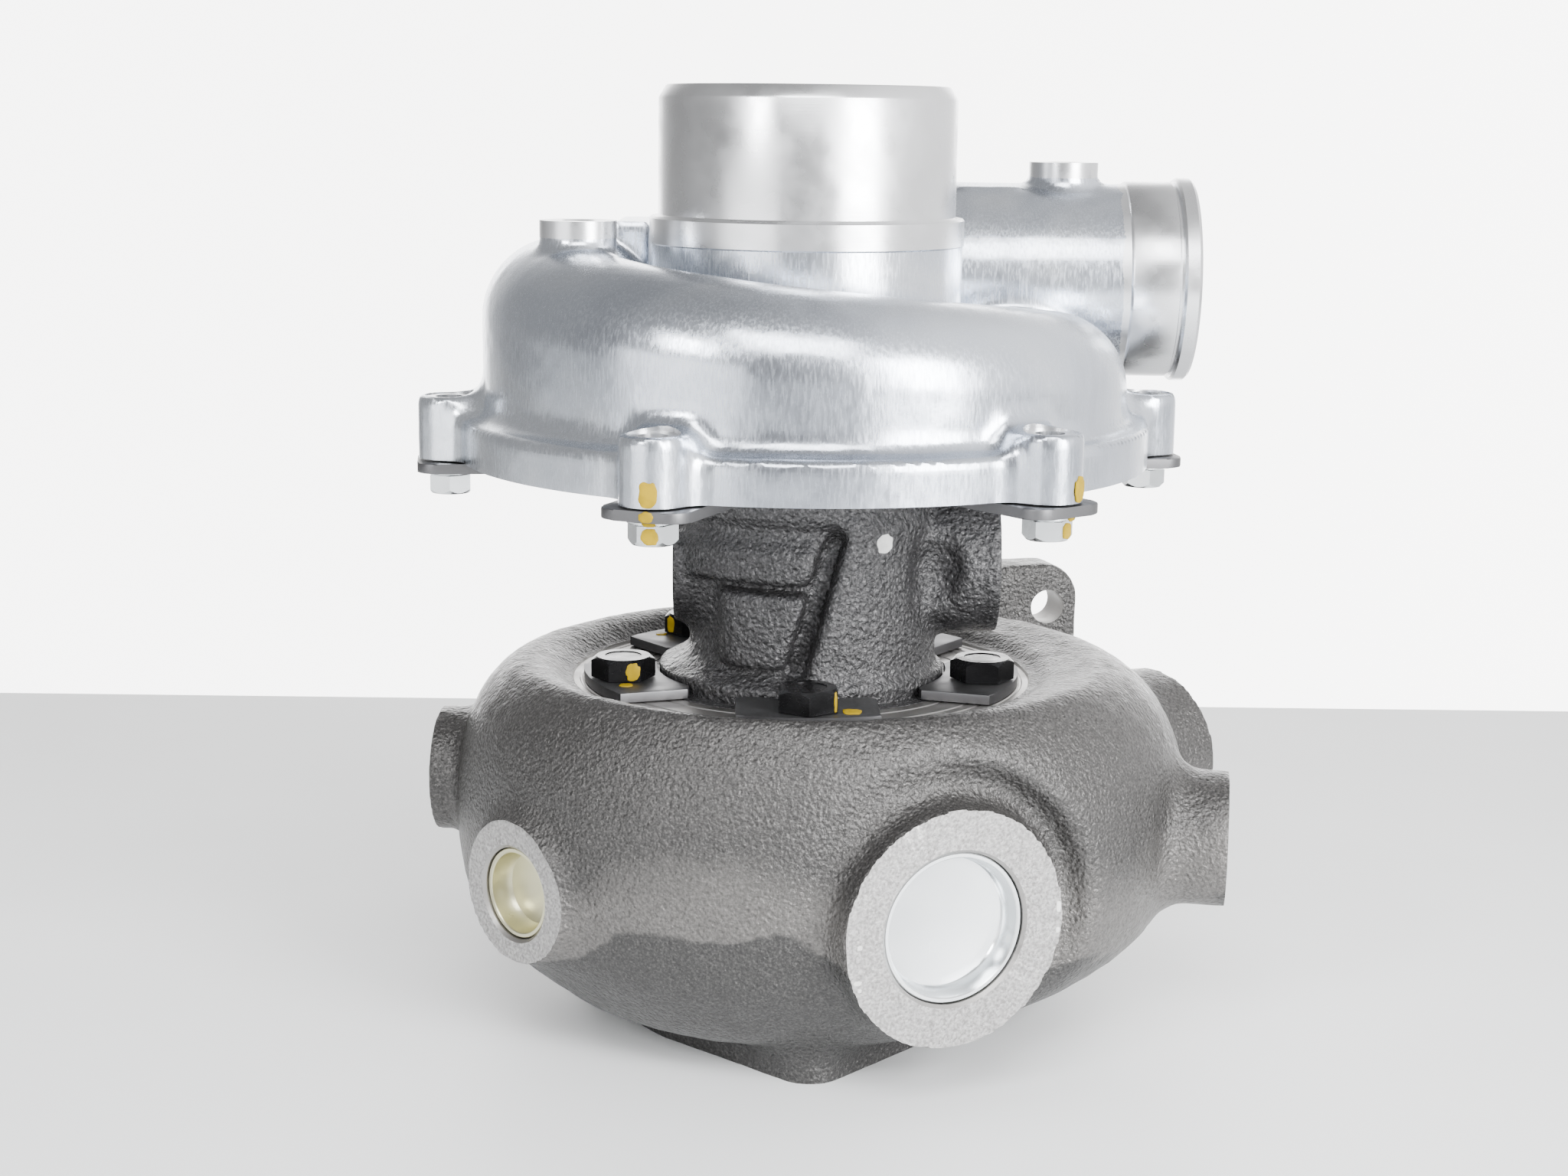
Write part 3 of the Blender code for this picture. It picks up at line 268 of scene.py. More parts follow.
# The fine speckle (scale 1100) lays light specks into the colour: painted glints over the casting's
# grain tone.
BLACK_IRON = cast_iron("black_iron", (0.036, 0.036, 0.037), (0.058, 0.057, 0.059),
                       (0.11, 0.109, 0.112), 0.18, 0.32, 0.5, 760, 1.1, 0.0, 1100)
DARK_IRON = turbine_iron()
FACED_IRON = faced_iron()
MACHINED_IRON = turned_metal("machined_iron", (0.36, 0.35, 0.34), 0.32, 0.5, (90, 90, 2200), 0.03)
ZINC = turned_metal("zinc_plate", (0.78, 0.81, 0.83), 0.14, 0.28, (700, 700, 700), 0.02)
YELLOW_ZINC = turned_metal("yellow_zinc", (0.62, 0.60, 0.42), 0.26, 0.42, (700, 700, 700), 0.03)
BLACK_OXIDE = cast_iron("black_oxide", (0.008, 0.008, 0.009), (0.015, 0.015, 0.016),
                        (0.03, 0.03, 0.031), 0.18, 0.34, 0.7, 1500, 0.04)
PLATE = turned_metal("plate_steel", (0.135, 0.135, 0.14), 0.4, 0.55, (900, 140, 900), 0.02)
STEEL = turned_metal("machined_steel", (0.58, 0.58, 0.59), 0.2, 0.32, (200, 200, 2400))
NICKEL = turned_metal("nickel_alloy", (0.42, 0.40, 0.385), 0.34, 0.5, (420, 420, 420), 0.12)
BRONZE = turned_metal("bearing_bronze", (0.62, 0.42, 0.2), 0.22, 0.36, (200, 200, 2400))
RUBBER = cast_iron("rubber", (0.014, 0.014, 0.014), (0.02, 0.02, 0.02), (0.03, 0.03, 0.03),
                   0.6, 0.8, 0.0, 1300, 0.05)
YELLOW_PAINT = paint_mark("yellow_paint", (0.33, 0.22, 0.0))
WHITE_PAINT = paint_mark("white_paint", (0.74, 0.74, 0.72))


# ---- meshes ---------------------------------------------------------------------------------
def link(name, mesh, *looks):
    obj = bpy.data.objects.new(name, mesh)
    for look in looks:
        mesh.materials.append(look)
    bpy.context.scene.collection.objects.link(obj)
    return obj


def piece(name, mesh, look, nodes, body=STATIC, matrix=None, sharp=35.0):
    """Finish a mesh (mm) as a named piece that rides on a body and stands for CAD nodes."""
    mesh.transform(ONTO_SHAFT if matrix is None else ONTO_SHAFT @ matrix)
    mesh.shade_smooth()
    mesh.set_sharp_from_angle(angle=math.radians(sharp))
    obj = link(name, mesh, *([look] if look and not mesh.materials else []))
    obj.name = name
    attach(obj, body)
    if nodes:
        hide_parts(*nodes)
    return obj


def from_bmesh(bm, name):
    bmesh.ops.recalc_face_normals(bm, faces=bm.faces)
    mesh = bpy.data.meshes.new(name)
    bm.to_mesh(mesh)
    bm.free()
    return mesh


def turned(name, outline, steps=96, matrix=None, look=None):
    """A solid of revolution about z from a (radius, z) outline; it may start and end on z."""
    bm = bmesh.new()
    rings = []
    for r, z in outline:
        if r <= 0:
            rings.append([bm.verts.new((0, 0, z))])
        else:
            rings.append([bm.verts.new(at(360 * i / steps, r, z)) for i in range(steps)])
    pairs = list(zip(rings, rings[1:]))
    if outline[0][0] > 0:
        pairs.append((rings[-1], rings[0]))
    for one, two in pairs:
        for i in range(steps):
            k = (i + 1) % steps
            if len(one) == 1:
                bm.faces.new((one[0], two[i], two[k]))
            elif len(two) == 1:
                bm.faces.new((one[i], one[k], two[0]))
            else:
                bm.faces.new((one[i], one[k], two[k], two[i]))
    mesh = from_bmesh(bm, name)
    if matrix is not None:
        mesh.transform(matrix)
    if look is not None:
        mesh.materials.append(look)
    return mesh


def along(start, direction):
    """The matrix that stands z along a direction at a point."""
    turn = Vector(direction).normalized().to_track_quat("Z", "Y").to_matrix().to_4x4()
    return Matrix.Translation(Vector(start)) @ turn


def rod(name, start, end, radius, steps=64, look=None):
    run = Vector(end) - Vector(start)
    length = run.length
    return turned(name, [(0, length), (radius, length), (radius, 0), (0, 0)], steps,
                  along(start, run), look)


def drilled(name, mouth, outward, radius, depth, chamfer=0.7, steps=64, look=None):
    """A blind hole cutter with a chamfered mouth; outward is the way out of the hole."""
    outline = [(0, 6), (radius + chamfer + 6, 6), (radius + chamfer, 0), (radius, -chamfer),
               (radius, -depth), (0, -depth)]
    return turned(name, outline, steps, along(mouth, outward), look)


def bevelled_plate(name, outline, thickness, bevel, holes=(), look=None):
    """A flat plate centred on z, its outer edges bevelled, with round holes (x, y, radius)."""
    bm = bmesh.new()
    low = [bm.verts.new((x, y, -thickness / 2)) for x, y in outline]
    high = [bm.verts.new((x, y, thickness / 2)) for x, y in outline]
    count = len(outline)
    bm.faces.new(low[::-1])
    bm.faces.new(high)
    rims = []
    for i in range(count):
        k = (i + 1) % count
        bm.faces.new((low[i], low[k], high[k], high[i]))
        rims += [(low[i], low[k]), (high[i], high[k])]
    edges = [bm.edges.get(pair) for pair in rims]
    bmesh.ops.bevel(bm, geom=edges, offset=bevel, segments=2, profile=0.6, affect="EDGES")
    mesh = from_bmesh(bm, name)
    cutters = [rod("hole", (x, y, -thickness), (x, y, thickness), r, 40) for x, y, r in holes]
    mesh = solid(name, mesh, cuts=cutters)
    if look is not None:
        mesh.materials.clear()
        mesh.materials.append(look)
    return mesh


def solid(name, mesh, joins=(), cuts=(), look=None):
    """Union and difference of meshes in millimetres, with each face keeping its own look."""
    if look is not None and not mesh.materials:
        mesh.materials.append(look)
    base = bpy.data.objects.new(name, mesh)
    bpy.context.scene.collection.objects.link(base)
    helpers = []
    for operation, group in (("UNION", joins), ("DIFFERENCE", cuts)):
        for other in group:
            helper = bpy.data.objects.new("helper", other)
            bpy.context.scene.collection.objects.link(helper)
            helpers.append(helper)
            step = base.modifiers.new(operation, "BOOLEAN")
            step.operation = operation
            step.object = helper
            step.solver = "MANIFOLD"
            step.material_mode = "TRANSFER"
    view = bpy.context.evaluated_depsgraph_get()
    result = bpy.data.meshes.new_from_object(base.evaluated_get(view))
    for obj in helpers + [base]:
        bpy.data.objects.remove(obj, do_unlink=True)
    return result


# ---- castings as distance fields --------------------------------------------------------------
def smin(a, b, k):
    """Union of two fields with a fillet of about k millimetres."""
    h = np.clip(0.5 + 0.5 * (b - a) / k, 0.0, 1.0)
    return b + (a - b) * h - k * h * (1.0 - h)


def smax(a, b, k):
    return -smin(-a, -b, k)


class Field:
    """A grid of distances round the shaft, in millimetres, that primitives are joined into."""

    def __init__(self, low, high, step):
        self.low, self.step = np.array(low, float), step
        axes = [np.arange(a, b + step, step, dtype=np.float32) for a, b in zip(low, high)]
        self.x, self.y, self.z = np.meshgrid(*axes, indexing="ij", sparse=True)
        self.r = np.sqrt(self.x ** 2 + self.y ** 2)
        self.azimuth = np.degrees(np.arctan2(self.x, -self.y)) % 360
        self.shape = tuple(len(a) for a in axes)

    def cylinder(self, start, end, radius, edge=0.0):
        start, end = np.array(start, float), np.array(end, float)
        run = end - start
        length = np.linalg.norm(run)
        run /= length
        dx, dy, dz = self.x - start[0], self.y - start[1], self.z - start[2]
        t = dx * run[0] + dy * run[1] + dz * run[2]
        out = np.sqrt(np.maximum(dx * dx + dy * dy + dz * dz - t * t, 0.0)) - radius
        ends = np.abs(t - length / 2) - length / 2
        return smax(out, ends, edge) if edge else np.maximum(out, ends)

    def box(self, centre, half, turn=0.0, edge=2.0, lean=0.0):
        """A rounded box turned about z; lean shears its x with height."""
        a = math.radians(turn)
        dz = self.z - centre[2]
        dx, dy = self.x - centre[0] - lean * dz, self.y - centre[1]
        u = np.abs(dx * math.cos(a) + dy * math.sin(a)) - half[0] + edge
        v = np.abs(-dx * math.sin(a) + dy * math.cos(a)) - half[1] + edge
        w = np.abs(dz) - half[2] + edge
        outside = np.sqrt(np.maximum(u, 0) ** 2 + np.maximum(v, 0) ** 2 + np.maximum(w, 0) ** 2)
        return outside + np.minimum(np.maximum(np.maximum(u, v), w), 0.0) - edge

    def revolved(self, outline, radius=None):
        """A (radius, z) polygon swept round the shaft; radius may be bent by azimuth."""
        radius = self.r if radius is None else radius
        reach = np.arange(0.0, float(radius.max()) + 1.0, 0.5)
        heights = self.z.ravel()
        table = polygon_distance(reach[:, None], heights[None, :], outline)
        flat = radius[..., 0]
        columns = [np.interp(flat, reach, table[:, i]) for i in range(len(heights))]
        return np.stack(columns, axis=2).astype(np.float32)

    def grain(self, cell, seed):
        """Smooth random unevenness from -1 to 1 with the given grain size."""
        lattice = np.random.default_rng(seed).uniform(
            -1, 1, [int(n * self.step / cell) + 3 for n in self.shape]).astype(np.float32)
        for axis, count in enumerate(self.shape):
            place = np.arange(count) * self.step / cell
            whole = place.astype(int)
            part = (place - whole).astype(np.float32)
            part = part * part * (3 - 2 * part)
            part = part.reshape([-1 if k == axis else 1 for k in range(3)])
            lattice = (np.take(lattice, whole, axis) * (1 - part)
                       + np.take(lattice, whole + 1, axis) * part)
        return lattice

    def mesh(self, name, field):
        band = 3.0 * self.step
        values = np.clip(np.broadcast_to(field, self.shape), -band, band)
        volume = openvdb.FloatGrid(band)
        volume.copyFromArray(np.ascontiguousarray(values, dtype=np.float32))
        points, _, quads = volume.convertToPolygons(isovalue=0.0)
        mesh = bpy.data.meshes.new(name)
        mesh.from_pydata((points * self.step + self.low).tolist(), [], quads.tolist())
        return mesh


def polygon_distance(px, pz, outline):
    px, pz = np.broadcast_arrays(px, pz)
    nearest = np.full(px.shape, 1e9)
    inside = np.zeros(px.shape, bool)
    for (ax, az), (bx, bz) in zip(outline, outline[1:] + outline[:1]):
        ex, ez, wx, wz = bx - ax, bz - az, px - ax, pz - az
        t = np.clip((wx * ex + wz * ez) / max(ex * ex + ez * ez, 1e-9), 0.0, 1.0)
        nearest = np.minimum(nearest, (wx - ex * t) ** 2 + (wz - ez * t) ** 2)
        if az != bz:
            crosses = ((az > pz) != (bz > pz)) & (px < ex * (pz - az) / ez + ax)
            inside ^= crosses
    return np.where(inside, -1.0, 1.0) * np.sqrt(nearest)


def smooth_line(points, steps=6):
    """A Catmull-Rom curve through 2D points."""
    ends = [points[0]] + list(points) + [points[-1]]
    curve = []
    for i in range(1, len(ends) - 2):
        p0, p1, p2, p3 = (np.array(ends[i + k]) for k in (-1, 0, 1, 2))
        for s in range(steps):
            t = s / steps
            curve.append(tuple(0.5 * (2 * p1 + t * (p2 - p0) + t * t * (
                2 * p0 - 5 * p1 + 4 * p2 - p3) + t ** 3 * (3 * (p1 - p2) + p3 - p0))))
    return curve + [tuple(points[-1])]


# ---- compressor cover -------------------------------------------------------------------------
INLET_R, INLET_TOP, INLET_STEP_Z, INLET_BASE_R = 45.0, 286.7, 247.9, 47.7
SCROLL_R, SCROLL_FLOOR, COVER_R, COVER_BOTTOM, RIM_TOP = 98.0, 184.5, 105.0, 175.4, 188.0
OUTLET_Y, OUTLET_Z, OUTLET_R, OUTLET_END = 67.0, 226.0, 32.0, 127.0
COVER_BOLTS = [-22.2 + 60 * i for i in range(6)]
COVER_BOLT_CIRCLE, BOSS_TOP = 108.2, 194.3
PRESSURE_BOSSES = ((-67.0, -27.0, 247.2), (85.0, 67.0, 264.0))


def compressor_cover():
    g = Field((-121, -121, 172), (132, 124, 266), 1.35)
    travel = (180 - g.azimuth) % 360
    ease = np.clip((travel - 310) / 50, 0, 1)
    ease = ease * ease * (3 - 2 * ease)
    crest = np.minimum(208.5 + 0.1278 * travel, 241.0) + 17.0 * ease
    corner = 23.5 + 8.5 * ease
    middle_r, middle_z = SCROLL_R - corner, crest - corner
    rounded = np.sqrt((g.r - middle_r) ** 2 + (g.z - middle_z) ** 2) - corner
    wall = np.maximum(np.maximum(g.r - SCROLL_R, g.z - middle_z), 184 - g.z)
    fall_r = middle_r - 0.866 * corner
    slope = np.clip((fall_r - g.r) / np.maximum(fall_r - 46.0, 1.0), 0, 1)
    fall = np.maximum(g.z - (middle_z + 0.5 * corner - 6.0 * slope), g.r - middle_r)
    body = smin(np.minimum(rounded, wall), fall, 3.0)
    tube = g.cylinder((-4, OUTLET_Y, OUTLET_Z), (118, OUTLET_Y, OUTLET_Z), OUTLET_R - 0.9)
    body = smin(body, tube, 7.0)
    rim = g.revolved([(0, RIM_TOP), (COVER_R - 1.6, RIM_TOP), (COVER_R - 0.4, RIM_TOP - 0.5),
                      (COVER_R, RIM_TOP - 1.8), (COVER_R, 172), (0, 172)])
    body = smin(body, rim, 6.5)
    neck = g.cylinder((0, 0, 190), (0, 0, INLET_STEP_Z - 2), INLET_BASE_R - 0.4)
    body = smin(body, neck, 5.0)
    for azimuth in COVER_BOLTS:
        boss = g.cylinder(at(azimuth, COVER_BOLT_CIRCLE, 170), at(azimuth, COVER_BOLT_CIRCLE, BOSS_TOP),
                          9.4, 2.0)
        shelf = g.box(at(azimuth, 98.0, 183.0), (9.0, 9.0, 9.6), azimuth, 3.0)
        body = smin(body, smin(boss, shelf, 3.0), 7.0)
    for x, y, top in PRESSURE_BOSSES:
        body = smin(body, g.cylinder((x, y, top - 26), (x, y, top + 3), 11.2), 3.5)
    raised = np.minimum(g.box((-54.5, 40, 235), (5.5, 20, 10), 0, 1.2),
                        g.box((60, OUTLET_Y, 250), (10, 12, 5.8), 0, 1.2))
    body = smin(body, raised, 2.0)

    floor = SCROLL_FLOOR + 14.5 * ease
    ceiling = np.minimum(crest - 5.0, 196.5 + 0.55 * np.maximum(0.0, travel - 42.0))
    tall = (ceiling - floor) / 2
    wide = np.minimum(tall, 19.5 + 7.5 * ease)
    inset = np.maximum(0.0, (23.5 - tall) / 4)
    oval = np.hypot((g.r - (93.0 - wide - inset)) / wide, (g.z - floor - tall) / tall)
    body = np.maximum(body, (1.0 - oval) * wide)
    cast = g.mesh("cover_cast", body + 0.07 * g.grain(5.0, 3))

    spigot = turned("spigot", [
        (0, INLET_TOP), (INLET_R - 2.6, INLET_TOP), (INLET_R - 2.2, INLET_TOP - 0.3),
        (INLET_R - 0.3, INLET_TOP - 3.3), (INLET_R, INLET_TOP - 4.0), (INLET_R, INLET_STEP_Z + 0.5),
        (INLET_R + 0.4, INLET_STEP_Z), (INLET_BASE_R - 0.5, INLET_STEP_Z),
        (INLET_BASE_R, INLET_STEP_Z - 0.5), (INLET_BASE_R, 240), (INLET_BASE_R - 1, 239),
        (0, 239)], 160, look=TURNED_ALU)
    face = Matrix.Translation((0, OUTLET_Y, OUTLET_Z)) @ Matrix.Rotation(math.radians(90), 4, "Y")
    nose = turned("nose", [
        (0, OUTLET_END), (32.4, OUTLET_END), (33.3, 126.0), (33.3, 122.2), (32.6, 121.4),
        (31.1, 121.2), (31.1, 120.4), (OUTLET_R, 120.0), (OUTLET_R, 105.4), (31.6, 104.8),
        (31.2, 104.5), (31.0, 100), (0, 100)], 128, face, TURNED_ALU)
    stubs = [rod("stub", (x, y, top - 5), (x, y, top), 11.35, 64, TURNED_ALU)
             for x, y, top in PRESSURE_BOSSES]
    tops = [rod("top", (x, y, top), (x, y, top + 9), 14, 48, TURNED_ALU)
            for x, y, top in PRESSURE_BOSSES]

    shroud = []
    for i in range(13):
        t = math.radians(90 * i / 12)
        shroud.append((28.4 + 10.2 * (1 - math.cos(t)), 187.0 + 25.0 * (1 - math.sin(t))))
    bore = turned("bore", [
        (0, 300), (44, 300), (42.0, INLET_TOP), (40.5, INLET_TOP - 1.2), (40.5, 262),
        (37.5, 254), (33.0, 244.5), (30, 238), (28.8, 233), (28.4, 230)] + shroud + [
        (80, 187), (84, 183.3), (97.2, 183.3), (97.2, 165), (0, 165)], 160, look=TURNED_ALU)
    outlet = turned("outlet", [
        (0, 134), (29.0, 134), (28.2, OUTLET_END), (27.0, 125.8), (27.0, -2), (0, -2)], 96, face,
        TURNED_ALU)
    flat = rod("flat", (0, 0, 160), (0, 0, COVER_BOTTOM), 130, 96, TURNED_ALU)
    holes = [rod("hole", at(a, COVER_BOLT_CIRCLE, 160), at(a, COVER_BOLT_CIRCLE, 205), 4.2, 32,
                 TURNED_ALU) for a in COVER_BOLTS]
    seats = [rod("seat", at(a, COVER_BOLT_CIRCLE, BOSS_TOP - 0.5), at(a, COVER_BOLT_CIRCLE, 199),
                 7.4, 48, TURNED_ALU) for a in COVER_BOLTS]
    holes += [drilled("port", (x, y, top), (0, 0, 1), 4.2, 16, 0.8, 40, TURNED_ALU)
              for x, y, top in PRESSURE_BOSSES]
    mesh = solid("cover", cast, [spigot, nose] + stubs,
                 tops + [bore, outlet, flat] + holes + seats, ALUMINIUM)
    piece("compressor_cover_casting", mesh, None, ["compressor_cover"])


# ---- bearing housing --------------------------------------------------------------------------
def bearing_housing():
    g = Field((-58, -58, 80), (66, 58, 178), 0.9)
    body = g.revolved(smooth_line([(38.6, 178), (38.6, 159), (37.4, 156.5), (35.6, 152), (34.5, 142),
                                   (33.6, 128), (34.0, 120), (36.5, 114.5), (44.4, 110.0)], 5)
                      + [(44.4, 100), (38.3, 96.9), (38.3, 80), (0, 80), (0, 178)])
    body = smin(body, g.cylinder((0, 0, 143), (-40.6, 0, 143), 20.0, 3.0), 8.0)
    right = smin(g.cylinder((20, 0, 143), (61.2, 0, 143), 22.5, 3.0),
                 g.cylinder((30, 0, 143), (50, 0, 143), 21.0, 4.0), 5.0)
    body = smin(body, right, 5.0)
    lip = g.revolved([(0, 178), (40.6, 178), (40.6, 158.5), (39.6, 157.2), (0, 157.2)])
    body = smin(body, lip, 2.5)
    valley = 9.0 + 0.28 * (g.z - 154.0)
    fuller = 38.5 + 7.0 * np.clip((127.0 - g.z) / 10.0, 0.0, 1.0)
    ridges = [(42.8 - 0.03 * (g.z - 110), valley, fuller, 109.0, 160.0, 6.0, 6.0, 5.0),
              (40.6, -42.0, valley, 141.2, 158.0, 6.0, 2.6, 2.6),
              (41.4, -25.0, valley, 115.6, 138.6, 5.0, 2.6, 2.6)]
    for reach, left, right, low, high, side, edge, fillet in ridges:
        ridge = smax(g.r - reach, smax(left - g.x, g.x - right, side), side)
        ridge = smax(ridge, smax(low - g.z, g.z - high, edge), edge)
        body = smin(body, smax(ridge, g.y + 6.0, side), fillet)
    channel = smax(np.abs(g.x - valley) - 2.9, 34.0 - g.r, 2.0)
    channel = smax(channel, np.abs(g.z - 134.0) - 21.5, 3.0)
    under_lip = smax(np.hypot(g.r - 42.2, g.z - 156.2) - 3.7, g.x - 10.5, 3.0)
    for groove in (channel, under_lip):
        body = smax(body, -smax(groove, g.y + 8.0, 2.0), 3.5)
    body = smin(body, g.box((-4.0, 24.0, 140), (22.0, 14.0, 18.0), 0, 8.0), 9.0)
    dent = np.sqrt(((g.x - 41.0) / 8.0) ** 2 + ((g.y + 25.0) / 8.0) ** 2
                   + ((g.z - 142.0) / 14.0) ** 2) - 1.0
    body = smax(body, -7.0 * dent, 3.0)
    leather = 0.15 * g.grain(1.9, 11) + 0.14 * g.grain(4.2, 12)
    cast = g.mesh("bearing_cast", body + leather)

    bore = turned("bore", [
        (0, 182), (25, 182), (25, 165.1), (15, 165.1), (15, 162.8), (8.65, 162.8), (8.65, 149.2),
        (9.7, 149.2), (9.7, 147.4), (12, 147.4), (12, 126.4), (9.7, 126.4), (9.7, 124.2),
        (8.65, 124.2), (8.65, 109.7), (6.2, 109.7), (6.2, 107), (20, 107), (20, 98.5),
        (10.4, 98.5), (10.4, 70), (0, 70)], 64, look=MACHINED_IRON)
    flange = turned("flange", [
        (0, 108.5), (44.3, 108.5), (44.3, 105.5), (49.4, 105.3), (49.6, 105.1), (49.6, 97.1),
        (49.4, 96.9), (0, 96.9)], 128, look=BLACK_IRON)
    trims = [
        rod("top", (0, 0, 175.0), (0, 0, 190), 70, 64, MACHINED_IRON),
        rod("nose", (0, 0, 70), (0, 0, 83.0), 60, 64, MACHINED_IRON),
        rod("left", (-39.6, 0, 143), (-52, 0, 143), 26, 64, MACHINED_IRON),
        rod("right", (60.2, 0, 143), (72, 0, 143), 32, 64, MACHINED_IRON),
        drilled("feed", (-39.6, 0, 137), (-1, 0, 0), 4.0, 28, 0.6, 32, MACHINED_IRON),
        drilled("drain", (60.2, 0, 137), (1, 0, 0), 8.0, 54, 0.8, 48, MACHINED_IRON)]
    trims += [drilled("screw", (-39.6, y, 143), (-1, 0, 0), 3.2, 9.6, 0.5, 24, MACHINED_IRON)
              for y in (-13, 13)]
    trims += [drilled("screw", (60.2, y, 143), (1, 0, 0), 3.4, 10, 0.5, 24, MACHINED_IRON)
              for y in (-17, 17)]
    trims += [rod("screw", at(45 + 90 * i, 31, 166), at(45 + 90 * i, 31, 180), 2.9, 24,
                  MACHINED_IRON) for i in range(4)]
    mesh = solid("bearing", cast, [flange], [bore] + trims, BLACK_IRON)
    piece("bearing_housing_casting", mesh, None, ["bearing_housing"])


# ---- turbine housing --------------------------------------------------------------------------
BOSSES = {      # azimuth, height and radius of the face, aim, boss radius, bore radius, depth
    "front": (25.5, 54.0, 102.0, 25.5, 35.0, 22.3, 11.5),
    "front_left": (-54.0, 52.5, 104.0, -45.0, 21.0, 13.8, 11.5),
    "left": (-95.0, 71.3, 115.0, -95.0, 19.7, 10.5, 20.0),
    "right": (81.0, 59.8, 134.0, 81.0, 20.8, 11.5, 20.0),
    "rear_right": (115.0, 67.5, 132.4, 130.0, 28.0, 18.3, 11.5),
}
GAS_AZ, GAS_OFFSET, GAS_Z = 105.0, 70.7, 63.3
TURBINE_BOLTS = [1.7 + 72 * i for i in range(5)]
HEX_TURNS = (0, 12, 25, 0, -13)
COVER_HEX_TURNS = (13.4, 10, 27, 36, 45, -28)
FOOT_LUGS = [3.0 + 120 * i for i in range(3)]


def gas_point(reach, side=0.0, z=GAS_Z):
    return at(GAS_AZ, GAS_OFFSET + side, z) + at(GAS_AZ + 90, reach)


def shell_radius(azimuth):
    around = np.array((97.0, 108.0, 122.0, 118.0, 108.0, 106.5, 108.5, 100.0))
    place = azimuth / 45
    i = place.astype(int) % 8
    t = place - place.astype(int)
    a, b, c, d = (around[(i + k) % 8] for k in (-1, 0, 1, 2))
    return b + 0.5 * t * (c - a + t * (2 * a - 5 * b + 4 * c - d + t * (3 * (b - c) + d - a)))


def foot_outline():
    waist = 64.0 * math.cos(math.radians(44)) + 11.0
    points = []
    for azimuth in FOOT_LUGS:
        for i in range(13):
            turn = azimuth - 44 + 88 * i / 12
            points.append(tuple((at(azimuth, 64.0) + at(turn, 11.0)).xy))
        for i in range(1, 8):
            points.append(tuple(at(azimuth + 44 + 32 * i / 8, waist).xy))
    return points


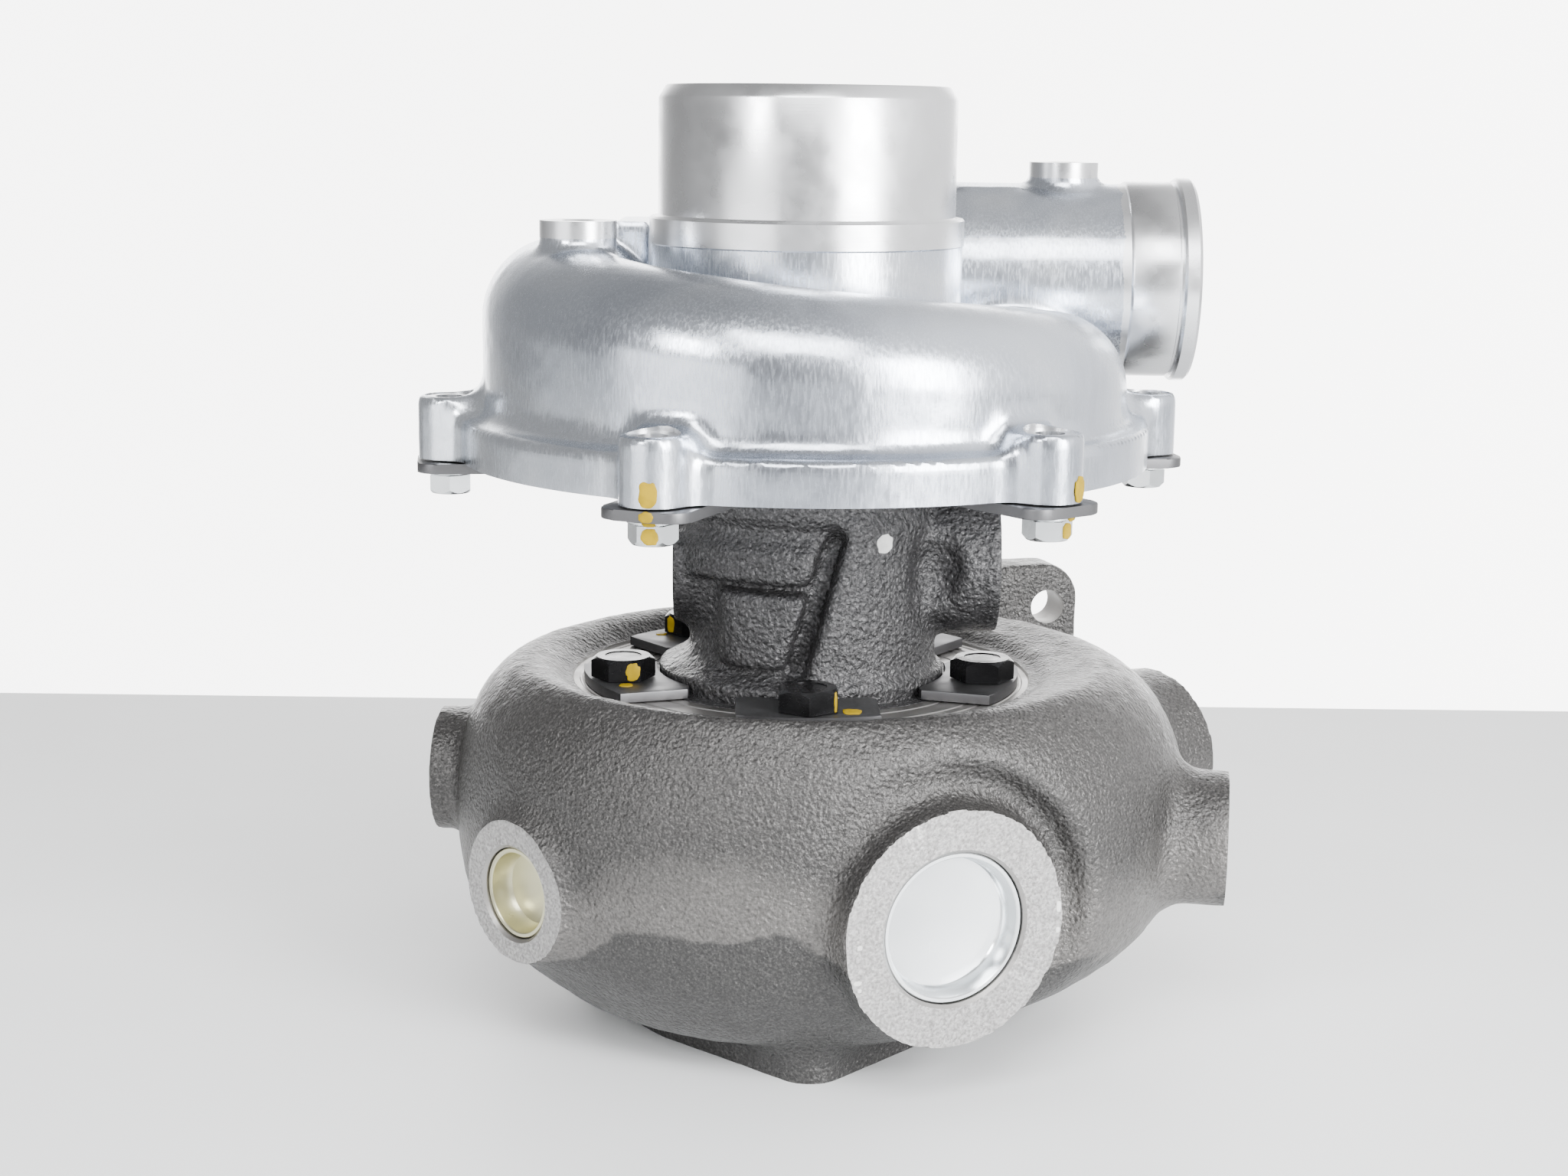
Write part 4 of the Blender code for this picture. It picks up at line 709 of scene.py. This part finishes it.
def turbine_housing():
    g = Field((-124, -116, -4), (142, 150, 122), 1.6)
    profile = [(73.0, 106.0), (79.5, 110.4), (87.0, 111.0), (94.0, 105.5), (100.0, 96.0),
               (104.2, 82.0), (105.7, 64.2), (104.2, 47.0), (100.0, 33.0), (92.0, 22.5),
               (82.0, 15.0), (72.0, 10.0)]
    stretch = (shell_radius(g.azimuth) - 60.0) / 45.7
    outer = np.clip((g.r - 76.0) / 12.0, 0, 1)
    outer = 0.2 + 0.8 * outer * outer * (3 - 2 * outer)
    bent = np.where(g.r > 60, 60 + (g.r - 60) / (1 + (stretch - 1) * outer), g.r)
    body = g.revolved([(0, 106)] + smooth_line(profile) + [(0, 10)], bent)
    foot = polygon_distance(g.x[..., 0], g.y[..., 0], foot_outline())[..., None]
    body = smin(body, smax(foot, np.abs(g.z - 5.0) - 8.0, 1.5), 7.0)
    body = smin(body, g.cylinder(gas_point(0), gas_point(104), 31.0), 10.0)
    middle = gas_point(106.4)
    flange = g.box(middle, (62.0, 8.4, 55.0), GAS_AZ - 90, 1.6)
    across, upright = 62.0 - 14.0, 55.0 - 14.0
    a = math.radians(GAS_AZ - 90)
    u = np.abs((g.x - middle.x) * math.cos(a) + (g.y - middle.y) * math.sin(a)) - across
    w = np.abs(g.z - middle.z) - upright
    corner = np.sqrt(np.maximum(u, 0) ** 2 + np.maximum(w, 0) ** 2) + np.minimum(
        np.maximum(u, w), 0) - 14.0
    body = smin(body, smax(flange, corner, 1.5), 5.0)
    for name, (azimuth, z, face, aim, radius, _, _) in BOSSES.items():
        end = at(azimuth, face, z) + at(aim, 1.0)
        root = end - at(aim, 46.0)
        fillet = 6.5
        if name == "front":
            moat = g.cylinder(end - at(aim, 10.5), end + at(aim, 14.0), radius + 9.0, 5.0)
            body = smax(body, -moat, 9.0)
        elif name == "front_left":
            fillet = 10.0
        elif name == "left":
            fillet = 3.0
        body = smin(body, g.cylinder(root, end, radius), fillet)
    travel = (GAS_AZ - g.azimuth) % 360
    gullet = 20.5 - 13.0 * np.minimum(travel, 345) / 345
    passage = np.sqrt((g.r - 45.0 - gullet) ** 2 + (g.z - GAS_Z - 0.7) ** 2) - gullet
    body = np.maximum(body, -passage)
    cast = g.mesh("turbine_cast", body + 0.16 * g.grain(3.6, 21) + 0.15 * g.grain(9.0, 22))

    exducer = []
    for i in range(9):
        t = math.radians(90 * i / 8)
        exducer.append((33.8 + 5.2 * (1 - math.sin(t)), 55.0 + 11.6 * math.cos(t)))
    grooves = []
    for r in (69.4, 65.6, 61.8, 54.6):
        grooves += [(r, 105.3), (r - 0.35, 105.0), (r - 0.9, 105.0), (r - 1.25, 105.3)]
    bore = turned("bore", [(0, 122), (72.2, 122), (71.6, 106.0), (71.2, 105.3)] + grooves + [
        (50, 105.3), (50, 95), (41, 95), (41, 79.7), (50, 79.7), (50, 66.5)] + exducer + [
        (33.8, 40), (34.5, 20), (38, 0.0), (39, -8), (0, -8)], 160, look=MACHINED_IRON)
    cuts = [bore,
            rod("gas", gas_point(-2), gas_point(122), 21.0, 64, MACHINED_IRON),
            rod("under", (0, 0, -14), (0, 0, 0), 120, 64, MACHINED_IRON)]
    face_box = bevelled_plate("face", [(-80, -80), (80, -80), (80, 80), (-80, 80)], 12, 0.2,
                              look=MACHINED_IRON)
    face_box.transform(along(gas_point(120.0), at(GAS_AZ + 90, 1)))
    cuts.append(face_box)
    for sx in (-50, 50):
        for sz in (-39, 39):
            cuts.append(rod("stud", gas_point(90, sx, GAS_Z + sz), gas_point(122, sx, GAS_Z + sz),
                            6.25, 48, MACHINED_IRON))
    cuts += [rod("bolt", at(a, 57.9, 90.5), at(a, 57.9, 120), 5.1, 32, MACHINED_IRON)
             for a in TURBINE_BOLTS]
    cuts += [drilled("lug", at(a, 64, 0), (0, 0, -1), 4.3, 11, 0.6, 32, MACHINED_IRON)
             for a in FOOT_LUGS]
    for azimuth, z, face, aim, radius, bore_r, depth in BOSSES.values():
        end = at(azimuth, face, z)
        cuts.append(rod("facing", end, end + at(aim, 9), radius + 1.2, 96, FACED_IRON))
        cuts.append(drilled("bore", end, at(aim, 1), bore_r, depth, 0.9, 96, MACHINED_IRON))
    mesh = solid("turbine", cast, cuts=cuts, look=DARK_IRON)
    piece("turbine_housing_casting", mesh, None, ["turbine_housing"])


# ---- fasteners --------------------------------------------------------------------------------
def hex_screw(name, flats, head, shank_r, length, look):
    """A hex screw, head above z = 0, with chamfered corners and a threaded shank."""
    corner = flats / math.sqrt(3)
    bm = bmesh.new()
    bmesh.ops.create_cone(bm, cap_ends=True, segments=6, radius1=corner, radius2=corner,
                          depth=head, matrix=Matrix.Translation((0, 0, head / 2)))
    prism = from_bmesh(bm, name)
    outside = turned("outside", [
        (corner + 4, head + 4), (corner + 4, -4), (corner + 0.1, -4), (corner + 0.1, head - 1.5),
        (flats / 2 - 0.25, head), (flats / 2 - 0.25, head + 4)], 96)
    dish = turned("dish", [(0, head + 2), (flats * 0.33, head + 2), (flats * 0.33, head - 0.25),
                           (0, head - 0.45)], 64)
    thread = [(0, 0.6), (shank_r, 0.6)]
    z = -3.0
    while z > -length + 1.2:
        thread += [(shank_r, z), (shank_r - 0.5, z - 0.6)]
        z -= 1.2
    thread += [(shank_r - 0.8, -length), (0, -length)]
    mesh = solid(name, prism, [turned("shank", thread, 32)], [outside, dish])
    mesh.materials.clear()
    mesh.materials.append(look)
    return mesh


def rounded_outline(half_x, half_y, corner, steps=6):
    points = []
    for sx, sy, start in ((1, 1, 0), (-1, 1, 90), (-1, -1, 180), (1, -1, 270)):
        for i in range(steps + 1):
            a = math.radians(start + 90 * i / steps)
            points.append((sx * (half_x - corner) + corner * math.cos(a),
                           sy * (half_y - corner) + corner * math.sin(a)))
    return points


def cover_fasteners():
    inner, outer, half = 77.0, 118.0, 13.0
    middle = (inner + outer) / 2
    plate_top = 174.8
    plate = bevelled_plate("plate", rounded_outline(half, (outer - inner) / 2, 6.0), 3.0, 0.5,
                           [(0, middle - COVER_BOLT_CIRCLE, 4.1)], PLATE)
    screw = hex_screw("screw", 12.0, 5.6, 3.7, 19.0, ZINC)
    ring = turned("ring", [(7.1, 0.5), (7.4, 0.2), (7.4, -0.2), (7.1, -0.5), (4.0, -0.5),
                           (4.0, 0.5)], 64, look=ZINC)
    for i, azimuth in enumerate(COVER_BOLTS, 1):
        turn = Matrix.Rotation(math.radians(azimuth), 4, "Z")
        flip = Matrix.Rotation(math.pi, 4, "X")
        tightened = Matrix.Rotation(math.radians(COVER_HEX_TURNS[i - 1]), 4, "Z")
        spots = (
            (f"cover_clamp_{i}", plate, at(azimuth, middle, plate_top - 1.5), turn, "plate_steel"),
            (f"cover_washer_{i}", ring, at(azimuth, COVER_BOLT_CIRCLE, 171.0), turn, "zinc_plate"),
            (f"cover_bolt_{i}", screw, at(azimuth, COVER_BOLT_CIRCLE, 170.2),
             turn @ flip @ tightened, "zinc_plate"))
        for node, mesh, place, spin, slot in spots:
            piece(node + "_detail", mesh.copy(), None, [node],
                  matrix=Matrix.Translation(place) @ spin)


def turbine_clamp_outline():
    inner, outer, half, cut_back = 45.4, 68.0, 21.0, 4.0
    spread_in = math.degrees(math.asin((half - cut_back) / inner))
    spread_out = math.degrees(math.asin(half / outer))
    points = [tuple(at(spread_in - 2 * spread_in * i / 16, inner).xy) for i in range(17)]
    shoulder = -(inner + cut_back) * math.cos(math.radians(spread_in)) + 2.0
    points.append((-half, shoulder))
    points += [tuple(at(-spread_out + 2 * spread_out * i / 16, outer).xy) for i in range(17)]
    points.append((half, shoulder))
    return points


def turbine_fasteners():
    plate = bevelled_plate("plate", turbine_clamp_outline(), 3.0, 0.35, [(0, -57.9, 4.95)], PLATE)
    screw = hex_screw("screw", 17.0, 6.6, 4.6, 16.0, BLACK_OXIDE)
    for i, azimuth in enumerate(TURBINE_BOLTS, 1):
        turn = Matrix.Rotation(math.radians(azimuth), 4, "Z")
        tightened = Matrix.Rotation(math.radians(HEX_TURNS[i - 1]), 4, "Z")
        piece(f"turbine_clamp_{i}_detail", plate.copy(), None, [f"turbine_clamp_{i}"],
              matrix=Matrix.Translation((0, 0, 107.1)) @ turn)
        piece(f"turbine_bolt_{i}_detail", screw.copy(), None, [f"turbine_bolt_{i}"],
              matrix=Matrix.Translation(at(azimuth, 57.9, 108.9)) @ turn @ tightened)


def core_plugs():
    for node, boss, radius, look, slot in (
            ("core_plug_front", "front", 22.0, ZINC, "zinc_plate"),
            ("core_plug_front_left", "front_left", 13.5, YELLOW_ZINC, "yellow_zinc"),
            ("core_plug_rear", "rear_right", 18.0, ZINC, "zinc_plate")):
        azimuth, z, face, aim = BOSSES[boss][:4]
        outline = [(0, -8.3), (radius - 5.0, -8.4), (radius - 3.0, -8.0), (radius - 1.9, -6.6),
                   (radius - 1.5, -1.7), (radius - 1.2, -1.4), (radius - 0.3, -1.4),
                   (radius, -1.7), (radius, -9.4), (radius - 1.0, -10.4), (0, -10.4)]
        cup = turned("cup", outline, 96, along(at(azimuth, face, z), at(aim, 1)), look)
        piece(node + "_cup", cup, None, [node])


# ---- rotor ------------------------------------------------------------------------------------
def blade_set(name, hub, tip, wrap, count, first, thickness, sections):
    """Curved blades with rounded edges, as separate closed solids in one list of meshes."""
    meshes = []
    for n in range(count):
        bm = bmesh.new()
        rows = []
        for i in range(sections + 1):
            t = i / sections
            taper = 1.0 if 0.06 < t < 0.94 else 0.6
            side = []
            for k in range(6):
                s = k / 5
                r = hub(t)[0] * (1 - s) + tip(t)[0] * s
                z = hub(t)[1] * (1 - s) + tip(t)[1] * s
                half = thickness * taper * (0.62 - 0.3 * s)
                spread = math.degrees(half / max(r, 1.0))
                side.append((r, z, spread))
            azimuth = first + 360 / count * n + wrap(t)
            loop = [at(azimuth - d, r, z) for r, z, d in side]
            loop += [at(azimuth + d, r, z) for r, z, d in reversed(side)]
            rows.append([bm.verts.new(p) for p in loop])
        width = len(rows[0])
        for one, two in zip(rows, rows[1:]):
            for j in range(width):
                k = (j + 1) % width
                bm.faces.new((one[j], one[k], two[k], two[j]))
        bm.faces.new(rows[0][::-1])
        bm.faces.new(rows[-1])
        meshes.append(from_bmesh(bm, name))
    return meshes


def compressor_wheel():
    def hub_line(t):
        a = math.radians(90 * t)
        return (9.0 + 29.0 * (1 - math.cos(a)), 185.4 + 38.0 * (1 - math.sin(a)))

    def hub(start):
        def line(t):
            r, z = hub_line(start + (0.96 - start) * t)
            return (max(r - 1.2, 7.5), z - 0.6)
        return line

    def tip(start):
        def line(t):
            s = start + (1 - start) * t
            a = math.radians(90 * s)
            lift = 8.0 * max(0.0, 1 - s / 0.14) ** 1.2
            return (27.8 + 10.0 * (1 - math.cos(a)), 186.4 + 25.0 * (1 - math.sin(a)) + lift)
        return line

    def wrap(start):
        def line(t):
            s = start + (1 - start) * t
            return 62.0 * s - 22.0 * s * s
        return line

    outline = [(4.3, 223.4)] + [hub_line(i / 20) for i in range(21)] + [
        (38.0, 183.7), (14.0, 183.4), (4.3, 183.4)]
    wheel = turned("wheel", outline, 96, look=TURNED_ALU)
    blades = blade_set("blade", hub(0.02), tip(0.0), wrap(0.0), 6, 0.0, 1.3, 18)
    blades += blade_set("blade", hub(0.35), tip(0.35), wrap(0.35), 6, 30.0, 1.3, 12)
    mesh = solid("wheel", wheel, blades, look=TURNED_ALU)
    piece("compressor_wheel_bladed", mesh, None, ["compressor_wheel"], ROTOR)


def turbine_wheel():
    hub_line = []
    for i in range(17):
        a = math.radians(90 * i / 16)
        hub_line.append((9.0 + 28.3 * (1 - math.cos(a)), 77.8 - 30.0 * (1 - math.sin(a))))

    def hub(t):
        a = math.radians(90 * (1 - 0.97 * t))
        return (8.0 + 28.3 * (1 - math.cos(a)), 78.3 - 30.0 * (1 - math.sin(a)) - 1.0 * t)

    def tip(t):
        if t < 0.6:
            a = math.radians(150 * t)
            return (33.0 + 4.9 * (1 - math.sin(a)), 55.0 + 12.4 * math.cos(a))
        return (33.0, 55.0 - 9.0 * (t - 0.6) / 0.4)

    outline = [(0, 235.0), (3.2, 235.0), (4.0, 234.2), (4.0, 163.0), (5.5, 163.0), (5.5, 98.0),
               (9.5, 97.0), (9.5, 91.8), (8.0, 91.8), (8.0, 89.4), (9.5, 89.4), (9.5, 84.0),
               (11.0, 79.6), (37.3, 79.4)] + hub_line[::-1] + [(8.4, 41.5), (6.0, 38.5), (0, 38.0)]
    wheel = turned("wheel", outline, 64, look=NICKEL)
    blades = blade_set("blade", hub, tip, lambda t: -38.0 * t ** 2.2, 11, 0.0, 1.7, 16)
    mesh = solid("turbine_wheel", wheel, blades, look=NICKEL)
    piece("turbine_wheel_bladed", mesh, None, ["turbine_wheel_and_shaft"], ROTOR)


def shaft_nut():
    bm = bmesh.new()
    bmesh.ops.create_cone(bm, cap_ends=True, segments=6, radius1=8.1, radius2=8.1, depth=7.2,
                          matrix=Matrix.Translation((0, 0, 227.4)))
    outside = turned("outside", [
        (12, 236), (12, 219), (8.2, 219), (6.9, 223.8), (8.15, 224.9), (8.15, 229.8),
        (6.8, 231.0), (6.8, 236)], 64)
    nut = solid("nut", from_bmesh(bm, "nut"),
                cuts=[outside, rod("hole", (0, 0, 218), (0, 0, 240), 4.3, 48)])
    nut.materials.clear()
    nut.materials.append(STEEL)
    piece("shaft_nut_detail", nut, None, ["shaft_nut"], ROTOR)


# ---- paint marks ------------------------------------------------------------------------------
def daub(name, centre, outward, up, width, height, look, seed):
    """A small uneven patch of paint, 0.25 mm thick, lying on a surface."""
    draw = np.random.default_rng(seed)
    outward, up = Vector(outward).normalized(), Vector(up)
    side = up.cross(outward).normalized()
    up = outward.cross(side)
    count = 28
    wobble = draw.uniform(-0.07, 0.07, 8)
    outline = []
    for i in range(count):
        a = 2 * math.pi * i / count
        uneven = 1 + sum(w * math.sin((k + 2) * a + k) for k, w in enumerate(wobble)) * 0.6
        x = math.copysign(abs(math.cos(a)) ** 0.75, math.cos(a)) * width / 2 * uneven
        y = math.copysign(abs(math.sin(a)) ** 0.75, math.sin(a)) * height / 2 * uneven
        outline.append((x, y))
    bm = bmesh.new()
    base = Vector(centre)
    rings = []
    for scale, lift in ((1.0, -0.25), (1.0, 0.08), (0.9, 0.2), (0.5, 0.26)):
        rings.append([bm.verts.new(base + side * (x * scale) + up * (y * scale) + outward * lift)
                      for x, y in outline])
    for one, two in zip(rings, rings[1:]):
        for i in range(count):
            k = (i + 1) % count
            bm.faces.new((one[i], one[k], two[k], two[i]))
    bm.faces.new(rings[0][::-1])
    bm.faces.new(rings[-1])
    piece(name, from_bmesh(bm, name), look, None, sharp=60)


def paint_marks():
    """Torque marks on the bolts, a dot on the bearing housing and specks on the front boss."""
    up = Vector((0, 0, 1))
    marks = []
    for azimuth, turn in ((-22.2, 16.6), (37.8, 20.0), (-82.2, -62.0)):
        bolt, out = at(azimuth, COVER_BOLT_CIRCLE), at(azimuth + turn, 1)
        marks += [(bolt + out * 9.5 + up * 179.2, out, up, 5.0, 7.0),
                  (bolt + out * 7.45 + up * 171.0, out, up, 3.6, 1.4),
                  (bolt + out * 6.15 + up * 167.4, out, up, 4.6, 4.4)]
    plate = at(-22.2, 118.0, 173.3) + at(67.8, 2.5)
    marks.append((plate, at(-22.2, 1), up, 4.2, 2.9))
    front, left, rear = (at(TURBINE_BOLTS[i], 57.9) for i in (0, 4, 3))
    marks += [(front + at(31.7, 8.5) + at(121.7, 4.1) + up * 112.0, at(31.7, 1), up, 1.0, 6.0),
              (front + at(80.0, 13.0) + up * 108.65, up, at(0, -1), 5.6, 6.0),
              (left + at(6.7, 8.5) + at(96.7, 2.5) + up * 112.0, at(6.7, 1), up, 4.2, 5.4),
              (left + at(8.0, 11.4) + up * 108.65, up, at(0, -1), 4.0, 4.0),
              (rear + at(-52.3, 8.5) + at(-142.3, 1.4) + up * 112.0, at(-52.3, 1), up, 4.0, 5.4),
              (rear + at(-70.0, 11.4) + up * 108.65, up, at(0, -1), 3.6, 3.6)]
    for number, (centre, out, top, width, height) in enumerate(marks, 1):
        daub(f"torque_mark_{number}", centre, out, top, width, height, YELLOW_PAINT, number)

    spot = at(35.5, 41.7, 153.5)
    daub("inspection_dot", spot, at(35.5, 1), up, 5.6, 5.6, WHITE_PAINT, 40)
    azimuth, z, face, aim = BOSSES["front"][:4]
    middle = at(azimuth, face + 0.05, z)
    for number, (turn, reach, width, height) in enumerate((
            (268, 30.5, 1.7, 1.5), (250, 33.0, 2.6, 1.4), (246, 33.2, 1.3, 1.2),
            (86, 33.6, 1.6, 3.4), (98, 33.8, 1.4, 1.8)), 1):
        a = math.radians(turn)
        place = middle + at(aim + 90, reach * math.sin(a)) + up * (reach * math.cos(a))
        daub(f"paint_speck_{number}", place, at(aim, 1), up, width, height, WHITE_PAINT,
             50 + number)


# ---- carried-over pieces ------------------------------------------------------------------------
def dress_cad_nodes():
    looks = {"cover_aluminium": TURNED_ALU, "machined_steel": STEEL, "bearing_bronze": BRONZE,
             "plate_steel": PLATE, "rubber": RUBBER}
    slots = {part["node"]: part["material_slot"] for part in frame["record"]["subparts"]}
    for node, obj in frame["nodes"].items():
        look = looks.get(slots[node])
        if look is not None:
            for place in obj.material_slots:
                place.material = look


compressor_cover()
bearing_housing()
turbine_housing()
cover_fasteners()
turbine_fasteners()
core_plugs()
compressor_wheel()
turbine_wheel()
shaft_nut()
paint_marks()
dress_cad_nodes()


# ---- floor and light ----------------------------------------------------------------------------
def softbox(name, azimuth, rise, reach, width, height, radiance, aim=150.0):
    """An area light on a circle round the shaft, given by the brightness of its face."""
    lamp = bpy.data.lights.new(name, "AREA")
    lamp.shape = "RECTANGLE"
    lamp.size, lamp.size_y = width * MM, height * MM
    lamp.energy = radiance * math.pi * lamp.size * lamp.size_y
    obj = bpy.data.objects.new(name, lamp)
    bpy.context.scene.collection.objects.link(obj)
    level = reach * math.cos(math.radians(rise))
    start = world(at(azimuth, level, aim + reach * math.sin(math.radians(rise))))
    obj.location = start
    obj.rotation_euler = (world((0, 0, aim)) - start).to_track_quat("-Z", "Y").to_euler()


def backdrop():
    """A bright wall straight behind, a dim room in front, and a paler side on the right."""
    sky = bpy.data.worlds.new("studio")
    bpy.context.scene.world = sky
    sky.use_nodes = True
    tree = sky.node_tree
    place = tree.nodes.new("ShaderNodeTexCoord").outputs["Generated"]
    split = tree.nodes.new("ShaderNodeSeparateXYZ")
    tree.links.new(place, split.inputs[0])
    total = tree.nodes.new("ShaderNodeMath")
    for slot, (axis, stops) in enumerate((
            ("Y", ((0.62, 0.10), (0.86, 0.6), (0.93, 6.5))),
            ("X", ((-0.2, 0.35), (0.75, 1.9))))):
        previous = None
        for (start, low), (end, high) in zip(stops, stops[1:]):
            step = tree.nodes.new("ShaderNodeMapRange")
            step.interpolation_type = "SMOOTHSTEP"
            for socket, number in (("From Min", start), ("From Max", end),
                                   ("To Min", low if previous is None else 0.0),
                                   ("To Max", high if previous is None else high - low)):
                step.inputs[socket].default_value = number
            tree.links.new(split.outputs[axis], step.inputs["Value"])
            if previous is not None:
                both = tree.nodes.new("ShaderNodeMath")
                tree.links.new(previous, both.inputs[0])
                tree.links.new(step.outputs["Result"], both.inputs[1])
                previous = both.outputs["Value"]
            else:
                previous = step.outputs["Result"]
        tree.links.new(previous, total.inputs[slot])
    tree.links.new(total.outputs["Value"], tree.nodes["Background"].inputs["Strength"])
    tree.nodes["Background"].inputs["Color"].default_value = (1.0, 0.992, 0.985, 1.0)


def studio():
    mesh = bpy.data.meshes.new("floor")
    far, side, near = 387.0, 2600.0, -2600.0
    corners = [(-side, near, 0), (side, near, 0), (side, far, 0), (-side, far, 0)]
    mesh.from_pydata([tuple(world(c)) for c in corners], [], [(0, 1, 2, 3)])
    look = Look("floor_board", 0.0, (0.80, 0.815, 0.83), 0.45)
    look.paint(look.colour(look.noise(9, 2.0), ((0.3, (0.845, 0.86, 0.87)),
                                                (0.7, (0.88, 0.895, 0.905)))))
    link("floor", mesh, look.made)
    backdrop()
    softbox("key", 40, 15, 1050, 460, 620, 27.0)
    softbox("left", -38, 26, 1100, 220, 260, 30.0)
    softbox("fill", -42, 3, 1050, 780, 320, 3.2)
    softbox("top", 0, 43, 1050, 620, 380, 12.0)


studio()
